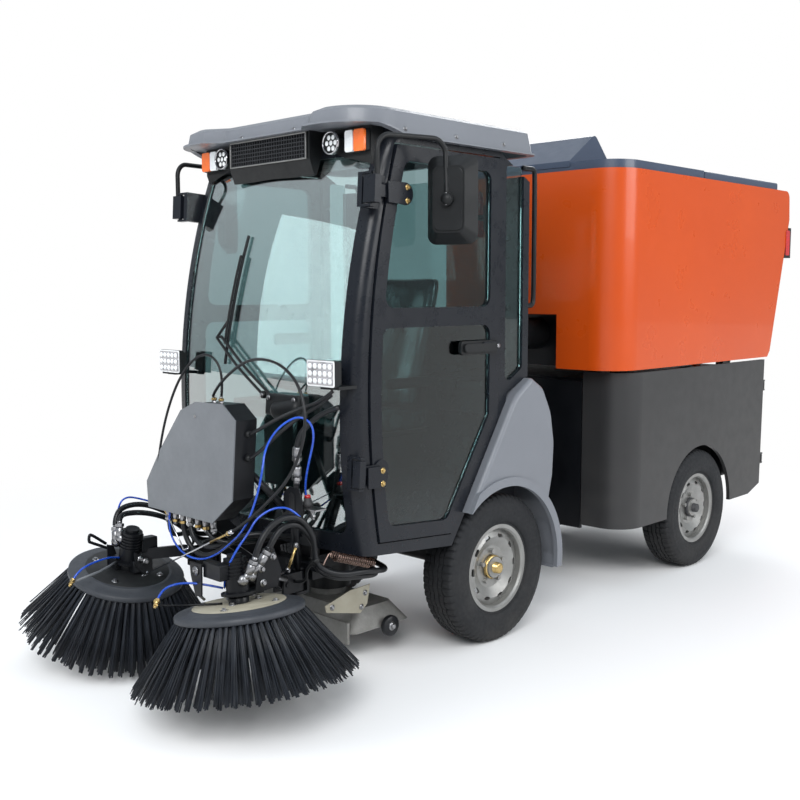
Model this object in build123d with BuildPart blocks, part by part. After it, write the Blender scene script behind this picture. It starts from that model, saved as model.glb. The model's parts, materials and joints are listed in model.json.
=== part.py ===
"""Compact articulated street sweeper with a suction nozzle, two front brooms and a rear-tipping hopper.

X points forward, Y to the vehicle's left and Z up; the ground is Z = 0 and all lengths are millimetres.
The front unit (cab) and the rear unit (engine and hopper) meet at a vertical pivot behind the cab.
"""
from build123d import *
import os
from math import cos, hypot, radians, sin, sqrt

os.makedirs("parts", exist_ok=True)

# ---------------------------------------------------------------- driving dimensions
front_axle_x = 541.0        # puts the middle of the overall length on X = 0
wheelbase = 1740.0
pivot_setback = 800.0       # steering pivot behind the front axle
seat_gap = 0.3              # between pieces that seat on each other
pin_gap = 0.05              # radial clearance of pins and shafts
swing_gap = 6.0             # between a moving panel and its frame

# wheels
tyre_diameter = 650.0
tyre_width = 187.0
rim_flange_diameter = 393.0
bead_seat_diameter = 356.0
stub_radius = 28.0
lug_circle_diameter = 140.0

# cab
cab_half_width = 575.0
wheel_face_y = cab_half_width + 23      # outer face of the tyres from the middle plane
cab_wall = 38.0
cab_top_z = 2139.7
cab_rear_offset = -200.0    # from the front axle
plan_bulge_radius = 2600.0  # of the windscreen, seen from above
door_thickness = 34.0
glass_thickness = 6.0

# hopper and lower rear body
body_half_width = cab_half_width + 27
hopper_half_width = body_half_width + 4
hopper_bottom_z = 1130.0
hopper_top_z = 2117.0
hopper_wall = 22.0
body_bottom_z = 320.0
body_top_z = 1115.0
body_wall = 20.0

# brooms
broom_disc_radius = 236.0
broom_drop = 276.0          # disc's top to the bristle tips
BROOMS = (                  # name, side, X from the front axle, Y, Z of the disc, lean to the middle in degrees, tip radius
    ("left", 1, 1242.0, 382.0, 400.0, 9.0, 419.0),
    ("right", -1, 1220.0, 415.0, 377.0, 15.0, 411.0),
)
broom_rake = 0.7            # degrees, the front is high
tuft_count = 44
ring_drop = 110.0           # depth of the ring that joins the tufts
disc_thickness = 30.0

# ---------------------------------------------------------------- places worked out from them
rear_axle_x = front_axle_x - wheelbase
pivot_x = front_axle_x - pivot_setback
axle_z = tyre_diameter / 2
SIDES = (("left", 1), ("right", -1))


def finish(piece, name):
    """Label a finished sub-part and write its STEP file."""
    piece.part.label = name
    export_step(piece.part, f"parts/{name}.step")


def front_x(offset):
    """X of a place on the front unit, from its distance ahead of the front axle."""
    return front_axle_x + offset


def rear_x(offset):
    """X of a place on the rear unit, from its distance ahead of the rear axle."""
    return rear_axle_x + offset


def long_plane(y):
    """Upright plane along the vehicle at a Y; its sketch axes are X and Z and its normal is -Y."""
    return Plane.XZ.offset(-y)


# ---------------------------------------------------------------- wheels
tyre_radius = tyre_diameter / 2
rim_flange_radius = rim_flange_diameter / 2
bead_radius = bead_seat_diameter / 2
rim_half_width = 66.0       # between the flanges, halved
flange_thickness = 7.0
tread_half_width = 70.0
disc_inset = 34.0           # rim disc inside the outer rim flange
hub_radius = 46.0

WHEELS = (                  # name, axle X, side
    ("front_left", front_axle_x, 1),
    ("front_right", front_axle_x, -1),
    ("rear_left", rear_axle_x, 1),
    ("rear_right", rear_axle_x, -1),
)
wheel_mid_y = wheel_face_y - tyre_width / 2

for name, axle_x, side in WHEELS:
    # the revolve's sketch runs from the wheel's middle plane outwards along the axle
    wheel_plane = Plane(origin=(axle_x, side * wheel_mid_y, axle_z), x_dir=(0, side, 0), z_dir=(1, 0, 0))
    half = tyre_width / 2

    with BuildPart() as tyre:
        shoulder = (half - 8, side * (tyre_radius - 22))
        flange_top = (rim_half_width, side * (rim_flange_radius + 4))
        sidewall = (half, side * (rim_flange_radius + tyre_radius) / 2)
        with BuildSketch(wheel_plane):
            with BuildLine():
                bead = Line((0, side * (bead_radius + seat_gap)), (rim_half_width, side * (bead_radius + seat_gap)))
                Line(bead @ 1, flange_top)
                ThreePointArc(flange_top, sidewall, shoulder)
                Line(shoulder, (tread_half_width, side * tyre_radius))
                Line((tread_half_width, side * tyre_radius), (0, side * tyre_radius))
                mirror(about=Plane.YZ)
            make_face()
        revolve(axis=Axis((axle_x, 0, axle_z), (0, 1, 0)))
    finish(tyre, f"tyre_{name}")

    with BuildPart() as rim:
        flange_in = rim_half_width + seat_gap
        flange_out = flange_in + flange_thickness
        well = bead_radius - 9
        disc_y = flange_out - disc_inset
        with BuildSketch(wheel_plane):
            with BuildLine():
                Polyline(
                    (-flange_in, side * bead_radius),
                    (flange_in, side * bead_radius),
                    (flange_in, side * (rim_flange_radius - 2)),
                    (flange_in + 3, side * rim_flange_radius),
                    (flange_out, side * (rim_flange_radius - 3)),
                    (flange_out, side * (bead_radius - 2)),
                    (flange_out - 8, side * well),
                    (disc_y, side * well),
                    (disc_y + 14, side * (well - 34)),
                    (disc_y - 6, side * 92),
                    (disc_y - 6, side * (hub_radius + 4)),
                    (disc_y + 22, side * hub_radius),
                    (disc_y + 22, 0),
                    (disc_y + 8, 0),
                    (disc_y + 8, side * (stub_radius + pin_gap)),
                    (-20, side * (stub_radius + pin_gap)),
                    (-20, side * (hub_radius + 12)),
                    (disc_y - 16, side * (hub_radius + 12)),
                    (disc_y - 16, side * 92),
                    (disc_y + 4, side * (well - 34)),
                    (disc_y - 8, side * (well - 6)),
                    (8 - flange_out, side * (well - 6)),
                    (-flange_out, side * (bead_radius - 8)),
                    (-flange_out, side * (rim_flange_radius - 3)),
                    (-flange_in - 3, side * rim_flange_radius),
                    (-flange_in, side * (rim_flange_radius - 2)),
                    close=True,
                )
            make_face()
        revolve(axis=Axis((axle_x, 0, axle_z), (0, 1, 0)))
        # vent slots near the edge of the disc
        slot_plane = Plane(origin=(axle_x, side * (wheel_mid_y + disc_y + 40), axle_z),
                           x_dir=(-side, 0, 0), z_dir=(0, side, 0))
        with BuildSketch(slot_plane):
            with PolarLocations(well - 30, 10):
                SlotOverall(34, 16, rotation=90)
        extrude(amount=-70, mode=Mode.SUBTRACT)
        # wheel nuts
        nut_plane = Plane(origin=(axle_x, side * (wheel_mid_y + disc_y - 6.5), axle_z),
                          x_dir=(-side, 0, 0), z_dir=(0, side, 0))
        with BuildSketch(nut_plane):
            with PolarLocations(lug_circle_diameter / 2, 5, start_angle=90):
                RegularPolygon(11, 6)
        extrude(amount=18)
    finish(rim, f"rim_{name}")

# ---------------------------------------------------------------- cab: shared forms
# the windscreen's upright line is an arc, foremost at the nose height
screen_radius = 2880.0
screen_nose_x = front_x(906)
screen_nose_z = 1048.0
screen_axis_x = screen_nose_x - screen_radius
screen_sweep = 28.0         # degrees of arc above and below the nose, ample for the cab's height
cab_rear_x = front_x(cab_rear_offset)
arch_knee = (front_x(-30), 985.0)
sill_rear = (front_x(300), 478.0)
sill_front_z = 534.0
pillar_radius = 48.0
SIDE_OUTLINE = (            # X, Z, from the sill's front round the bottom, rear and roof
    (screen_nose_x + 40, sill_front_z),
    sill_rear,
    arch_knee,
    (front_x(-60), 1095.0),
    (cab_rear_x, 1150.0),
    (cab_rear_x, cab_top_z),
    (screen_nose_x + 40, cab_top_z),
)


def screen_x(z):
    """X of the windscreen on the middle plane at a height."""
    return screen_axis_x + sqrt(screen_radius ** 2 - (z - screen_nose_z) ** 2)


def cab_block(inset):
    """Solid block of the cab, with every wall moved inwards by the inset."""
    half_width = cab_half_width - inset
    nose = screen_radius - inset
    bulge = plan_bulge_radius - inset
    corner = nose - bulge + sqrt(bulge ** 2 - half_width ** 2)
    back = cab_rear_x - screen_axis_x - 120
    tilt = radians(screen_sweep)
    start = Plane(origin=(screen_axis_x, 0, screen_nose_z), x_dir=(cos(tilt), 0, sin(tilt)),
                  z_dir=(sin(tilt), 0, -cos(tilt)))
    with BuildPart() as block:
        with BuildSketch(Plane.XZ):
            Polygon(*SIDE_OUTLINE, align=None)
            if inset:
                offset(amount=-inset, kind=Kind.INTERSECTION)
        extrude(amount=cab_half_width + 20, both=True)
    # plan outline, drawn from the arc's axis outwards and turned about that axis
    with BuildPart() as bowed:
        with BuildSketch(start):
            with BuildLine():
                ThreePointArc((corner, -half_width), (nose, 0), (corner, half_width))
                Polyline((corner, half_width), (back, half_width), (back, -half_width), (corner, -half_width))
            make_face()
            fillet(vertices().sort_by(lambda v: -hypot(v.X - screen_axis_x, v.Z - screen_nose_z))[:2],
                   pillar_radius - inset)
        revolve(axis=Axis(start.origin, (0, 1, 0)), revolution_arc=2 * screen_sweep)
    return block.part & bowed.part


cab_outer = cab_block(0)
cab_envelope = cab_block(-seat_gap)
cab_cavity = cab_block(cab_wall)

# door opening, X and Z from the top front corner round the front
door_top_z = 2078.0
door_gap_outline = (
    (front_x(628), door_top_z),
    (front_x(772), 1285.0),
    (front_x(728), 560.0),
    (front_x(306), 527.0),
    (front_x(10), 985.0),
    (front_x(4), door_top_z),
)


def door_face(inset):
    """Door outline, moved inwards by the inset."""
    top, mid, foot, heel, knee, rear = door_gap_outline
    with BuildSketch() as outline:
        with BuildLine():
            ThreePointArc(top, mid, foot)
            Polyline(foot, heel, knee, rear, top)
        make_face()
        if inset:
            offset(amount=-inset, kind=Kind.INTERSECTION)
    return outline.sketch


# glass of the windscreen, in the front view (Y, Z)
screen_half_width = cab_half_width - 70
screen_low_z = 600.0
screen_high_z = 2035.0
quarter_outline = (
    (front_x(-40), 2052.0),
    (front_x(-40), 1150.0),
    (front_x(-72), 1138.0),
    (front_x(-160), 1190.0),
    (front_x(-160), 2052.0),
)
rear_window_width = 2 * cab_half_width - 350
rear_window_low_z = 1420.0
rear_window_high_z = 2030.0


def rounded(points, inset, radius):
    """Polygon with round corners, moved inwards by the inset."""
    with BuildSketch() as outline:
        Polygon(*points, align=None)
        if inset:
            offset(amount=-inset, kind=Kind.INTERSECTION)
        fillet(outline.vertices(), radius)
    return outline.sketch


# door hinges: a pin between two ears on the pillar, at two heights
hinge_low = Vector(front_x(850), 0, 850.0)
hinge_high = Vector(front_x(788), 0, 1894.0)
hinge_dir = (hinge_high - hinge_low).normalized()
hinge_y = cab_half_width + 32
hinge_radius = 8.0
HINGES = (                  # X and Z of the hinge's middle, block length along X, block reach outwards
    (hinge_low.X, hinge_low.Z, 30.0, 15.0),
    (hinge_high.X, hinge_high.Z, 32.0, 38.0),
)
hinge_block_height = 100.0
mirror_tube_radius = 10.0
mirror_foot_y = hinge_y + 27
mirror_foot_z = hinge_high.Z + hinge_block_height / 2 - 12
ear_thickness = 8.0
hinge_clearance = 5.0


def hinge_plane(x, y, z):
    """Plane across a door's hinge line, with its normal up the line and its X forwards."""
    return Plane(origin=(x, y, z), x_dir=(hinge_dir.Z, 0, -hinge_dir.X), z_dir=hinge_dir)


with BuildPart() as cab_shell:
    add(cab_outer)
    for name, side in SIDES:
        for x, z, block_length, reach in HINGES:
            ear_offset = (hinge_block_height + ear_thickness) / 2 + hinge_clearance
            root_y = cab_half_width - 30
            with Locations(hinge_plane(x, side * hinge_y, z)):
                Cylinder(hinge_radius, 2 * ear_offset)
                with Locations((-3, side * (9 + root_y - hinge_y) / 2, ear_offset),
                               (-3, side * (9 + root_y - hinge_y) / 2, -ear_offset)):
                    Box(24, hinge_y + 9 - root_y, ear_thickness)
                with Locations((-60, side * (root_y + 12 - hinge_y), 0)):
                    Box(138, 24, 2 * ear_offset + ear_thickness)
    add(cab_cavity, mode=Mode.SUBTRACT)
    # windscreen
    with BuildSketch(Plane.YZ.offset(front_x(500))):
        with Locations((0, (screen_low_z + screen_high_z) / 2)):
            RectangleRounded(2 * screen_half_width, screen_high_z - screen_low_z, 45)
    extrude(amount=600, mode=Mode.SUBTRACT)
    # doors and quarter windows on both sides
    with BuildSketch(Plane.XZ):
        add(door_face(0))
        add(rounded(quarter_outline, 0, 22))
    extrude(amount=cab_half_width + 40, both=True, mode=Mode.SUBTRACT)
    # rear window
    with BuildSketch(Plane.YZ.offset(cab_rear_x - 20)):
        with Locations((0, (rear_window_low_z + rear_window_high_z) / 2)):
            RectangleRounded(rear_window_width, rear_window_high_z - rear_window_low_z, 40)
    extrude(amount=100, mode=Mode.SUBTRACT)
finish(cab_shell, "cab_shell")

screen_outer = cab_block(10)
screen_inner = cab_block(10 + glass_thickness)
with BuildPart() as windscreen:
    add(screen_outer)
    add(screen_inner, mode=Mode.SUBTRACT)
    with BuildSketch(Plane.YZ.offset(front_x(450))):
        with Locations((0, (screen_low_z + screen_high_z) / 2)):
            RectangleRounded(2 * (screen_half_width - seat_gap), screen_high_z - screen_low_z - 2 * seat_gap, 45)
    extrude(amount=600, mode=Mode.INTERSECT)
finish(windscreen, "windscreen")

with BuildPart() as cab_glass:
    for name, side in SIDES:
        with BuildSketch(Plane.XZ.offset(-side * (cab_half_width - 14))):
            add(rounded(quarter_outline, seat_gap, 22))
        extrude(amount=side * glass_thickness)
    with BuildSketch(Plane.YZ.offset(cab_rear_x + 14)):
        with Locations((0, (rear_window_low_z + rear_window_high_z) / 2)):
            RectangleRounded(rear_window_width - 2 * seat_gap,
                             rear_window_high_z - rear_window_low_z - 2 * seat_gap, 40)
    extrude(amount=glass_thickness)
finish(cab_glass, "cab_glass")

# ---------------------------------------------------------------- doors, hinged at their front edge
door_outer_y = cab_half_width + 8
door_frame_width = 58.0
leaf_thickness = 7.0
mid_rail_z = 1422.0
mid_rail_height = 76.0
pane_corner_radius = 42.0
PANES = (                   # Z of a pane's lower and upper limit
    (400.0, mid_rail_z - mid_rail_height / 2),
    (mid_rail_z + mid_rail_height / 2, 2300.0),
)
mirror_x = front_x(458)
mirror_y = cab_half_width + 130
mirror_z = 1868.0
mirror_turn = 20.0          # degrees, the glass faces the driver
mirror_tube_high_z = 2088.0


def pane_face(low, high, inset):
    """One glass opening of the door."""
    with BuildSketch() as outline:
        add(door_face(swing_gap + door_frame_width + inset))
        with Locations((front_x(400), (low + high) / 2)):
            Rectangle(1200, high - low - 2 * inset, mode=Mode.INTERSECT)
        fillet(outline.vertices(), pane_corner_radius - inset)
    return outline.sketch


for name, side in SIDES:
    with BuildPart() as door:
        with BuildSketch(long_plane(side * door_outer_y)):
            add(door_face(swing_gap))
        extrude(amount=side * door_thickness)
        for low, high in PANES:
            with BuildSketch(long_plane(side * (door_outer_y + 5))):
                add(pane_face(low, high, 0))
            extrude(amount=side * (door_thickness + 20), mode=Mode.SUBTRACT)
        for x, z, block_length, reach in HINGES:
            # leaf with a round end, and the block on the hinge line
            with BuildSketch(long_plane(side * (door_outer_y + leaf_thickness))):
                with Locations((x - 65, z)):
                    Rectangle(130, 44)
                with Locations((x - 130, z)):
                    Circle(38)
            extrude(amount=side * leaf_thickness)
            block_in = door_outer_y + 1
            block_out = hinge_y + reach
            with Locations(hinge_plane(x, side * (block_in + block_out) / 2, z)):
                Box(block_length, block_out - block_in, hinge_block_height)
        for x, z, block_length, reach in HINGES:
            with Locations(hinge_plane(x, side * hinge_y, z)):
                Cylinder(hinge_radius + pin_gap, hinge_block_height + 20, mode=Mode.SUBTRACT)
        # outside handle
        with BuildSketch(long_plane(side * (door_outer_y + 30))):
            with Locations((front_x(85), 1293)):
                SlotOverall(140, 42)
        extrude(amount=side * 30)
        # socket of the mirror's tube in the upper block
        with Locations((hinge_high.X - 6, side * mirror_foot_y, mirror_foot_z - seat_gap)):
            Cylinder(mirror_tube_radius + seat_gap, 40, align=(Align.CENTER, Align.CENTER, Align.MIN),
                     mode=Mode.SUBTRACT)
    finish(door, f"door_{name}")

    with BuildPart() as door_glass:
        for low, high in PANES:
            with BuildSketch(long_plane(side * (door_outer_y - 12))):
                add(pane_face(low, high, seat_gap))
            extrude(amount=side * glass_thickness)
    finish(door_glass, f"door_glass_{name}")

    # mirror on a bowed tube that stands on the upper hinge block
    foot = (hinge_high.X - 6, side * mirror_foot_y, mirror_foot_z)
    turn = radians(mirror_turn)
    head = Plane(origin=(mirror_x, side * mirror_y, mirror_z),
                 z_dir=(cos(turn), side * sin(turn), 0), x_dir=(-side * sin(turn), cos(turn), 0))
    with BuildPart() as mirror_arm:
        with BuildLine() as tube_line:
            FilletPolyline(
                foot,
                (foot[0], foot[1], mirror_tube_high_z),
                (mirror_x + 22, side * (mirror_y - 12), mirror_tube_high_z + 4),
                (mirror_x + 36, side * (mirror_y + 10), mirror_z),
                radius=55,
            )
        with BuildSketch(Plane(origin=tube_line.line @ 0, z_dir=tube_line.line % 0)):
            Circle(mirror_tube_radius)
        sweep(path=tube_line.line)
        with BuildSketch(head.offset(-14)):
            RectangleRounded(205, 335, 38)
        with BuildSketch(head.offset(30)):
            RectangleRounded(130, 250, 26)
        loft()
        with BuildSketch(head.offset(10)):
            Circle(26)
        extrude(amount=44)
    finish(mirror_arm, f"mirror_{name}")

# ---------------------------------------------------------------- roof cap and lamp console
roof_half_width = cab_half_width + 30
roof_skirt_z = 2100.0
roof_brow_z = 2138.0        # underside over the lamps
roof_deck_z = cab_top_z + seat_gap
roof_edge_z = 2192.0
roof_top_z = 2208.0
roof_front_x = front_x(803)
brow_front_x = front_x(858)
brow_radius = 215.0
brow_inner_y = 255.0
roof_rear_x = front_x(-216)
skirt_thickness = 12.0
lip_reach = 10.0
lip_thickness = 7.0
LIP_LINE = (                # X, Z of the skirt's lower edge, from the rear to the front
    (roof_rear_x - 60, roof_skirt_z), (front_x(600), roof_skirt_z), (front_x(735), roof_brow_z),
    (brow_front_x + 60, roof_brow_z),
)


def roof_outline(inset):
    """Plan of the roof cap: a slab whose front corners reach forwards as brows over the lamps."""
    edge_y = roof_half_width - inset
    front = brow_front_x - inset
    with BuildSketch() as outline:
        with BuildLine():
            Polyline(
                (roof_rear_x + inset, -edge_y), (front, -edge_y),
                (front, -brow_inner_y - 75 - inset), (roof_front_x - inset, -brow_inner_y - inset / 2),
                (roof_front_x - inset, brow_inner_y + inset / 2), (front, brow_inner_y + 75 + inset),
                (front, edge_y), (roof_rear_x + inset, edge_y), close=True,
            )
        make_face()
        outer = outline.vertices().filter_by(lambda v: abs(v.Y) > edge_y - 1)
        fillet(outer.filter_by(lambda v: v.X > front - 1), brow_radius - inset)
        outer = outline.vertices().filter_by(lambda v: abs(v.Y) > edge_y - 1)
        fillet(outer.filter_by(lambda v: v.X < roof_rear_x + inset + 1), 60 - inset)
    return outline.sketch


with BuildPart() as roof_cap:
    for z, inset in ((roof_skirt_z, 0), (roof_edge_z, 20), (roof_top_z, 52)):
        with BuildSketch(Plane.XY.offset(z)):
            add(roof_outline(inset))
    loft(ruled=True)
    # open underside inside the skirt, and the brow's arch
    with BuildSketch(Plane.XY.offset(roof_skirt_z - 5)):
        add(roof_outline(skirt_thickness + lip_reach))
    extrude(amount=roof_deck_z - roof_skirt_z + 5, mode=Mode.SUBTRACT)
    with BuildSketch(Plane.XZ):
        Polygon(*LIP_LINE, (brow_front_x + 60, roof_skirt_z - 40), (roof_rear_x - 60, roof_skirt_z - 40), align=None)
    extrude(amount=roof_half_width + 50, both=True, mode=Mode.SUBTRACT)
    # lip along the skirt's lower edge
    with BuildPart(mode=Mode.PRIVATE) as lip:
        with BuildSketch(Plane.XY.offset(roof_skirt_z - 5)):
            add(roof_outline(-lip_reach))
            add(roof_outline(skirt_thickness + lip_reach), mode=Mode.SUBTRACT)
        extrude(amount=roof_brow_z - roof_skirt_z + 30)
        with BuildSketch(Plane.XZ):
            Polygon(*LIP_LINE, *[(x, z + lip_thickness) for x, z in reversed(LIP_LINE)], align=None)
        extrude(amount=roof_half_width + 50, both=True, mode=Mode.INTERSECT)
    add(lip.part)
finish(roof_cap, "roof_cap")

console_front_x = front_x(776)
console_half_width = 256.0
console_low_z = 2032.0
cheek_front_x = front_x(704)
cheek_half_width = cab_half_width - 53
console_keel_z = 1972.0
grille_width = 482.0
grille_height = 99.0
grille_z = 2085.5
grille_pitch = 15.5
grille_bar = 4.0
with BuildPart() as roof_console:
    for half_width, front in ((console_half_width, console_front_x), (cheek_half_width, cheek_front_x)):
        with BuildSketch(Plane.XZ):
            Polygon((cheek_front_x - 118, roof_deck_z - seat_gap), (front, roof_deck_z - seat_gap),
                    (front, console_low_z), (front - 24, console_keel_z), (cheek_front_x - 118, console_keel_z),
                    align=None)
        extrude(amount=half_width, both=True)
    # recess behind the grille
    with BuildSketch(Plane.YZ.offset(console_front_x - 25)):
        with Locations((0, grille_z)):
            Rectangle(grille_width - 24, grille_height - 24)
    extrude(amount=60, mode=Mode.SUBTRACT)
    add(cab_envelope, mode=Mode.SUBTRACT)
finish(roof_console, "roof_console")

with BuildPart() as roof_grille:
    with BuildSketch(Plane.YZ.offset(console_front_x + seat_gap)):
        with Locations((0, grille_z)):
            Rectangle(grille_width, grille_height)
            with GridLocations(grille_pitch, grille_pitch, 30, 6):
                Rectangle(grille_pitch - grille_bar, grille_pitch - grille_bar, mode=Mode.SUBTRACT)
    extrude(amount=5)
finish(roof_grille, "roof_grille")

signal_y = cab_half_width - 112
round_lamp_y = signal_y - 115
round_lamp_radius = 43.0
work_lamp_x = front_x(938)
work_lamp_y = cab_half_width - 81
work_lamp_z = 1223.0
with BuildPart() as front_lamps:
    for name, side in SIDES:
        lamp_plane = Plane(origin=(cheek_front_x + seat_gap, side * round_lamp_y, grille_z), z_dir=(1, 0, 0))
        with BuildSketch(lamp_plane):
            Circle(round_lamp_radius - 8)
        with BuildSketch(lamp_plane.offset(26)):
            Circle(round_lamp_radius)
        loft()
        with BuildSketch(lamp_plane.offset(26)):
            Circle(round_lamp_radius)
        extrude(amount=22)
        with BuildSketch(lamp_plane.offset(44)):
            Circle(round_lamp_radius - 5)
        extrude(amount=10, mode=Mode.SUBTRACT)
        with BuildSketch(Plane.YZ.offset(cheek_front_x + seat_gap)):
            with Locations((side * signal_y, grille_z)):
                RectangleRounded(108, 84, 8)
        extrude(amount=18)
        # work lamp with cooling ribs, on an arm from the pillar
        with Locations((work_lamp_x - 10, side * work_lamp_y, work_lamp_z)):
            Box(20, 150, 96)
        with Locations((work_lamp_x - 28, side * work_lamp_y, work_lamp_z)):
            Box(18, 134, 82)
            with GridLocations(1, 19, 1, 7):
                Box(38, 6, 82)
        with Locations((work_lamp_x - 60, side * (cab_half_width - 30), work_lamp_z - 52)):
            Box(90, 60, 12)
        with Locations((work_lamp_x - 30, side * (work_lamp_y + 10), work_lamp_z - 52)):
            Box(30, 60, 14)
        with Locations((work_lamp_x - 20, side * (work_lamp_y + 10), work_lamp_z - 44)):
            Box(24, 60, 14)
    add(cab_envelope, mode=Mode.SUBTRACT)
finish(front_lamps, "front_lamps")

# ---------------------------------------------------------------- fenders over the front wheels
fender_outer_y = wheel_face_y + 24
fender_inner_y = wheel_face_y - 173
fender_skin = 12.0
fender_edge_radius = 20.0
arch_radius = 366.0
arch_lip_width = 38.0
arch_lip_rise = 10.0
fender_low_z = 262.0
FENDER_OUTLINE = (          # X from the front axle, Z, corner radius, from the top round the rear to the front
    (-178.0, 1148.0, 20.0),
    (-262.0, 1098.0, 70.0),
    (-324.0, 985.0, 150.0),
    (-350.0, 845.0, 150.0),
    (-342.0, 700.0, 150.0),
    (-314.0, 585.0, 40.0),
    (-380.0, 480.0, 120.0),
    (-402.0, 390.0, 120.0),
    (-414.0, 310.0, 30.0),
    (-380.0, fender_low_z, 20.0),
    (-300.0, fender_low_z, 0.0),
    (-200.0, 560.0, 0.0),
    (236.0, 608.0, 0.0),
    (-60.0, 1070.0, 200.0),
)


def fender_face(inset):
    """Side view of a fender, with its edge moved inwards by the inset."""
    with BuildSketch() as face:
        Polygon(*[(front_x(x), z) for x, z, radius in FENDER_OUTLINE], align=None)
        for x, z, radius in FENDER_OUTLINE:
            if radius:
                fillet(face.vertices().sort_by_distance((front_x(x), z, 0))[0], radius)
        if inset:
            offset(amount=-inset, kind=Kind.INTERSECTION)
    return face.sketch


for name, side in SIDES:
    mid_y = (fender_outer_y + fender_inner_y) / 2
    with BuildPart() as fender:
        with BuildSketch(long_plane(side * fender_outer_y)):
            add(fender_face(0))
        extrude(amount=side * (fender_outer_y - fender_inner_y))
        fillet(fender.faces().sort_by(Axis.Y)[-1 if side > 0 else 0].outer_wire().edges(), fender_edge_radius)
        # raised lip round the wheel arch
        with BuildSketch(long_plane(side * (fender_outer_y + arch_lip_rise))):
            with Locations((front_axle_x, axle_z)):
                Circle(arch_radius + arch_lip_width)
            Polygon((front_axle_x, axle_z), *[(front_x(x), z) for x, z, radius in FENDER_OUTLINE[-2:]],
                    (front_x(-450), 1070), (front_x(-450), fender_low_z + 6), (front_x(-250), fender_low_z + 6),
                    align=None, mode=Mode.INTERSECT)
        extrude(amount=side * (arch_lip_rise + fender_skin))
        # hollow from the inside and below
        with BuildSketch(long_plane(side * (fender_outer_y - fender_skin))):
            add(fender_face(fender_skin))
        extrude(amount=side * (fender_outer_y - fender_inner_y), mode=Mode.SUBTRACT)
        with Locations(Plane(origin=(front_axle_x, side * mid_y, axle_z), z_dir=(0, 1, 0))):
            Cylinder(arch_radius, 400, mode=Mode.SUBTRACT)
        add(cab_envelope, mode=Mode.SUBTRACT)
    finish(fender, f"fender_{name}")

# ---------------------------------------------------------------- suction line on the front unit
duct_radius = 84.0
duct_flange = 14.0
sleeve_x = front_x(470)
sleeve_low_z = 240.0
sleeve_high_z = 400.0
sleeve_wall = 14.0
spigot_radius = duct_radius - 6
swivel_z = 800.0
DUCT_ROUTE = (              # X, Z of the duct's middle line, from the sleeve to the swivel
    (sleeve_x, 330.0),
    (front_x(120), 440.0),
    (front_x(-420), 640.0),
    (pivot_x, 690.0),
    (pivot_x, swivel_z),
)


def duct_tube(radius):
    """Round duct along its route, with tangent bends."""
    with BuildPart() as tube:
        with BuildLine() as line:
            FilletPolyline(*[(x, 0, z) for x, z in DUCT_ROUTE], radius=(200, 200, 90))
        with BuildSketch(Plane(origin=line.line @ 0, z_dir=line.line % 0)):
            Circle(radius)
        sweep(path=line.line)
    return tube.part


with BuildPart() as suction_duct:
    add(duct_tube(duct_radius))
    with Locations((sleeve_x, 0, sleeve_low_z)):
        Cylinder(duct_radius + sleeve_wall, sleeve_high_z - sleeve_low_z,
                 align=(Align.CENTER, Align.CENTER, Align.MIN))
    with Locations((sleeve_x, 0, sleeve_low_z - 1)):
        Cylinder(spigot_radius + seat_gap, sleeve_high_z - sleeve_low_z - 25,
                 align=(Align.CENTER, Align.CENTER, Align.MIN), mode=Mode.SUBTRACT)
    with Locations((pivot_x, 0, swivel_z - duct_flange)):
        Cylinder(duct_radius + duct_flange, duct_flange, align=(Align.CENTER, Align.CENTER, Align.MIN))
finish(suction_duct, "suction_duct")

# ---------------------------------------------------------------- front chassis
rail_low_z = 400.0
rail_high_z = 460.0
front_rail_y = 220.0
rail_width = 60.0
nose_beam_x = front_x(830)
nose_beam_half = 345.0
tongue_beam_x = front_x(-600)
pivot_pin_radius = 30.0
knuckle_radius = 60.0
knuckle_low_z = 400.0
knuckle_high_z = 560.0
lug_gap = 5.0
lug_thickness = 28.0
post_height = 760.0
POST_X = (front_x(-165), front_x(420), front_x(760))
# the broom carriers' swing pins and lift pins
swing_pin_x = front_x(900)
swing_pin_y = 290.0
swing_pin_radius = 14.0
carrier_low_z = 362.0
carrier_high_z = 440.0
lift_pin_x = front_x(966)
lift_pin_z = 398.0
lift_pin_radius = 10.0
ear_spread = 66.0           # between the outer faces of the carrier's ears
arm_root_width = 34.0
arm_size = 46.0
arm_rise = 62.0             # from the disc's top to the arm's knee
motor_radius = 42.0
motor_height = 134.0
motor_ribs = 5
shaft_radius = 16.0
mount_gap = 34.0            # from the disc's top to the motor plate
swing_lug = 12.0
# mast of the valve box
valve_front_x = front_x(1190)
valve_depth = 105.0
valve_low_z = 655.0
mast_y = 70.0
mast_plate = 12.0
MAST_OUTLINE = (            # X, Z of the mast's side plates
    (front_x(802), rail_high_z), (front_x(930), rail_high_z), (front_x(1150), valve_low_z - 30),
    (front_x(1150), valve_low_z - seat_gap), (front_x(1088), valve_low_z - seat_gap), (front_x(915), 508.0),
    (front_x(802), 508.0),
)
# fixed barrel of the steering cylinder
steer_y = -140.0
steer_z = 352.0
steer_base_x = pivot_x + 400
steer_barrel_length = 255.0
steer_barrel_radius = 25.0
steer_rod_radius = 12.0

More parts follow.
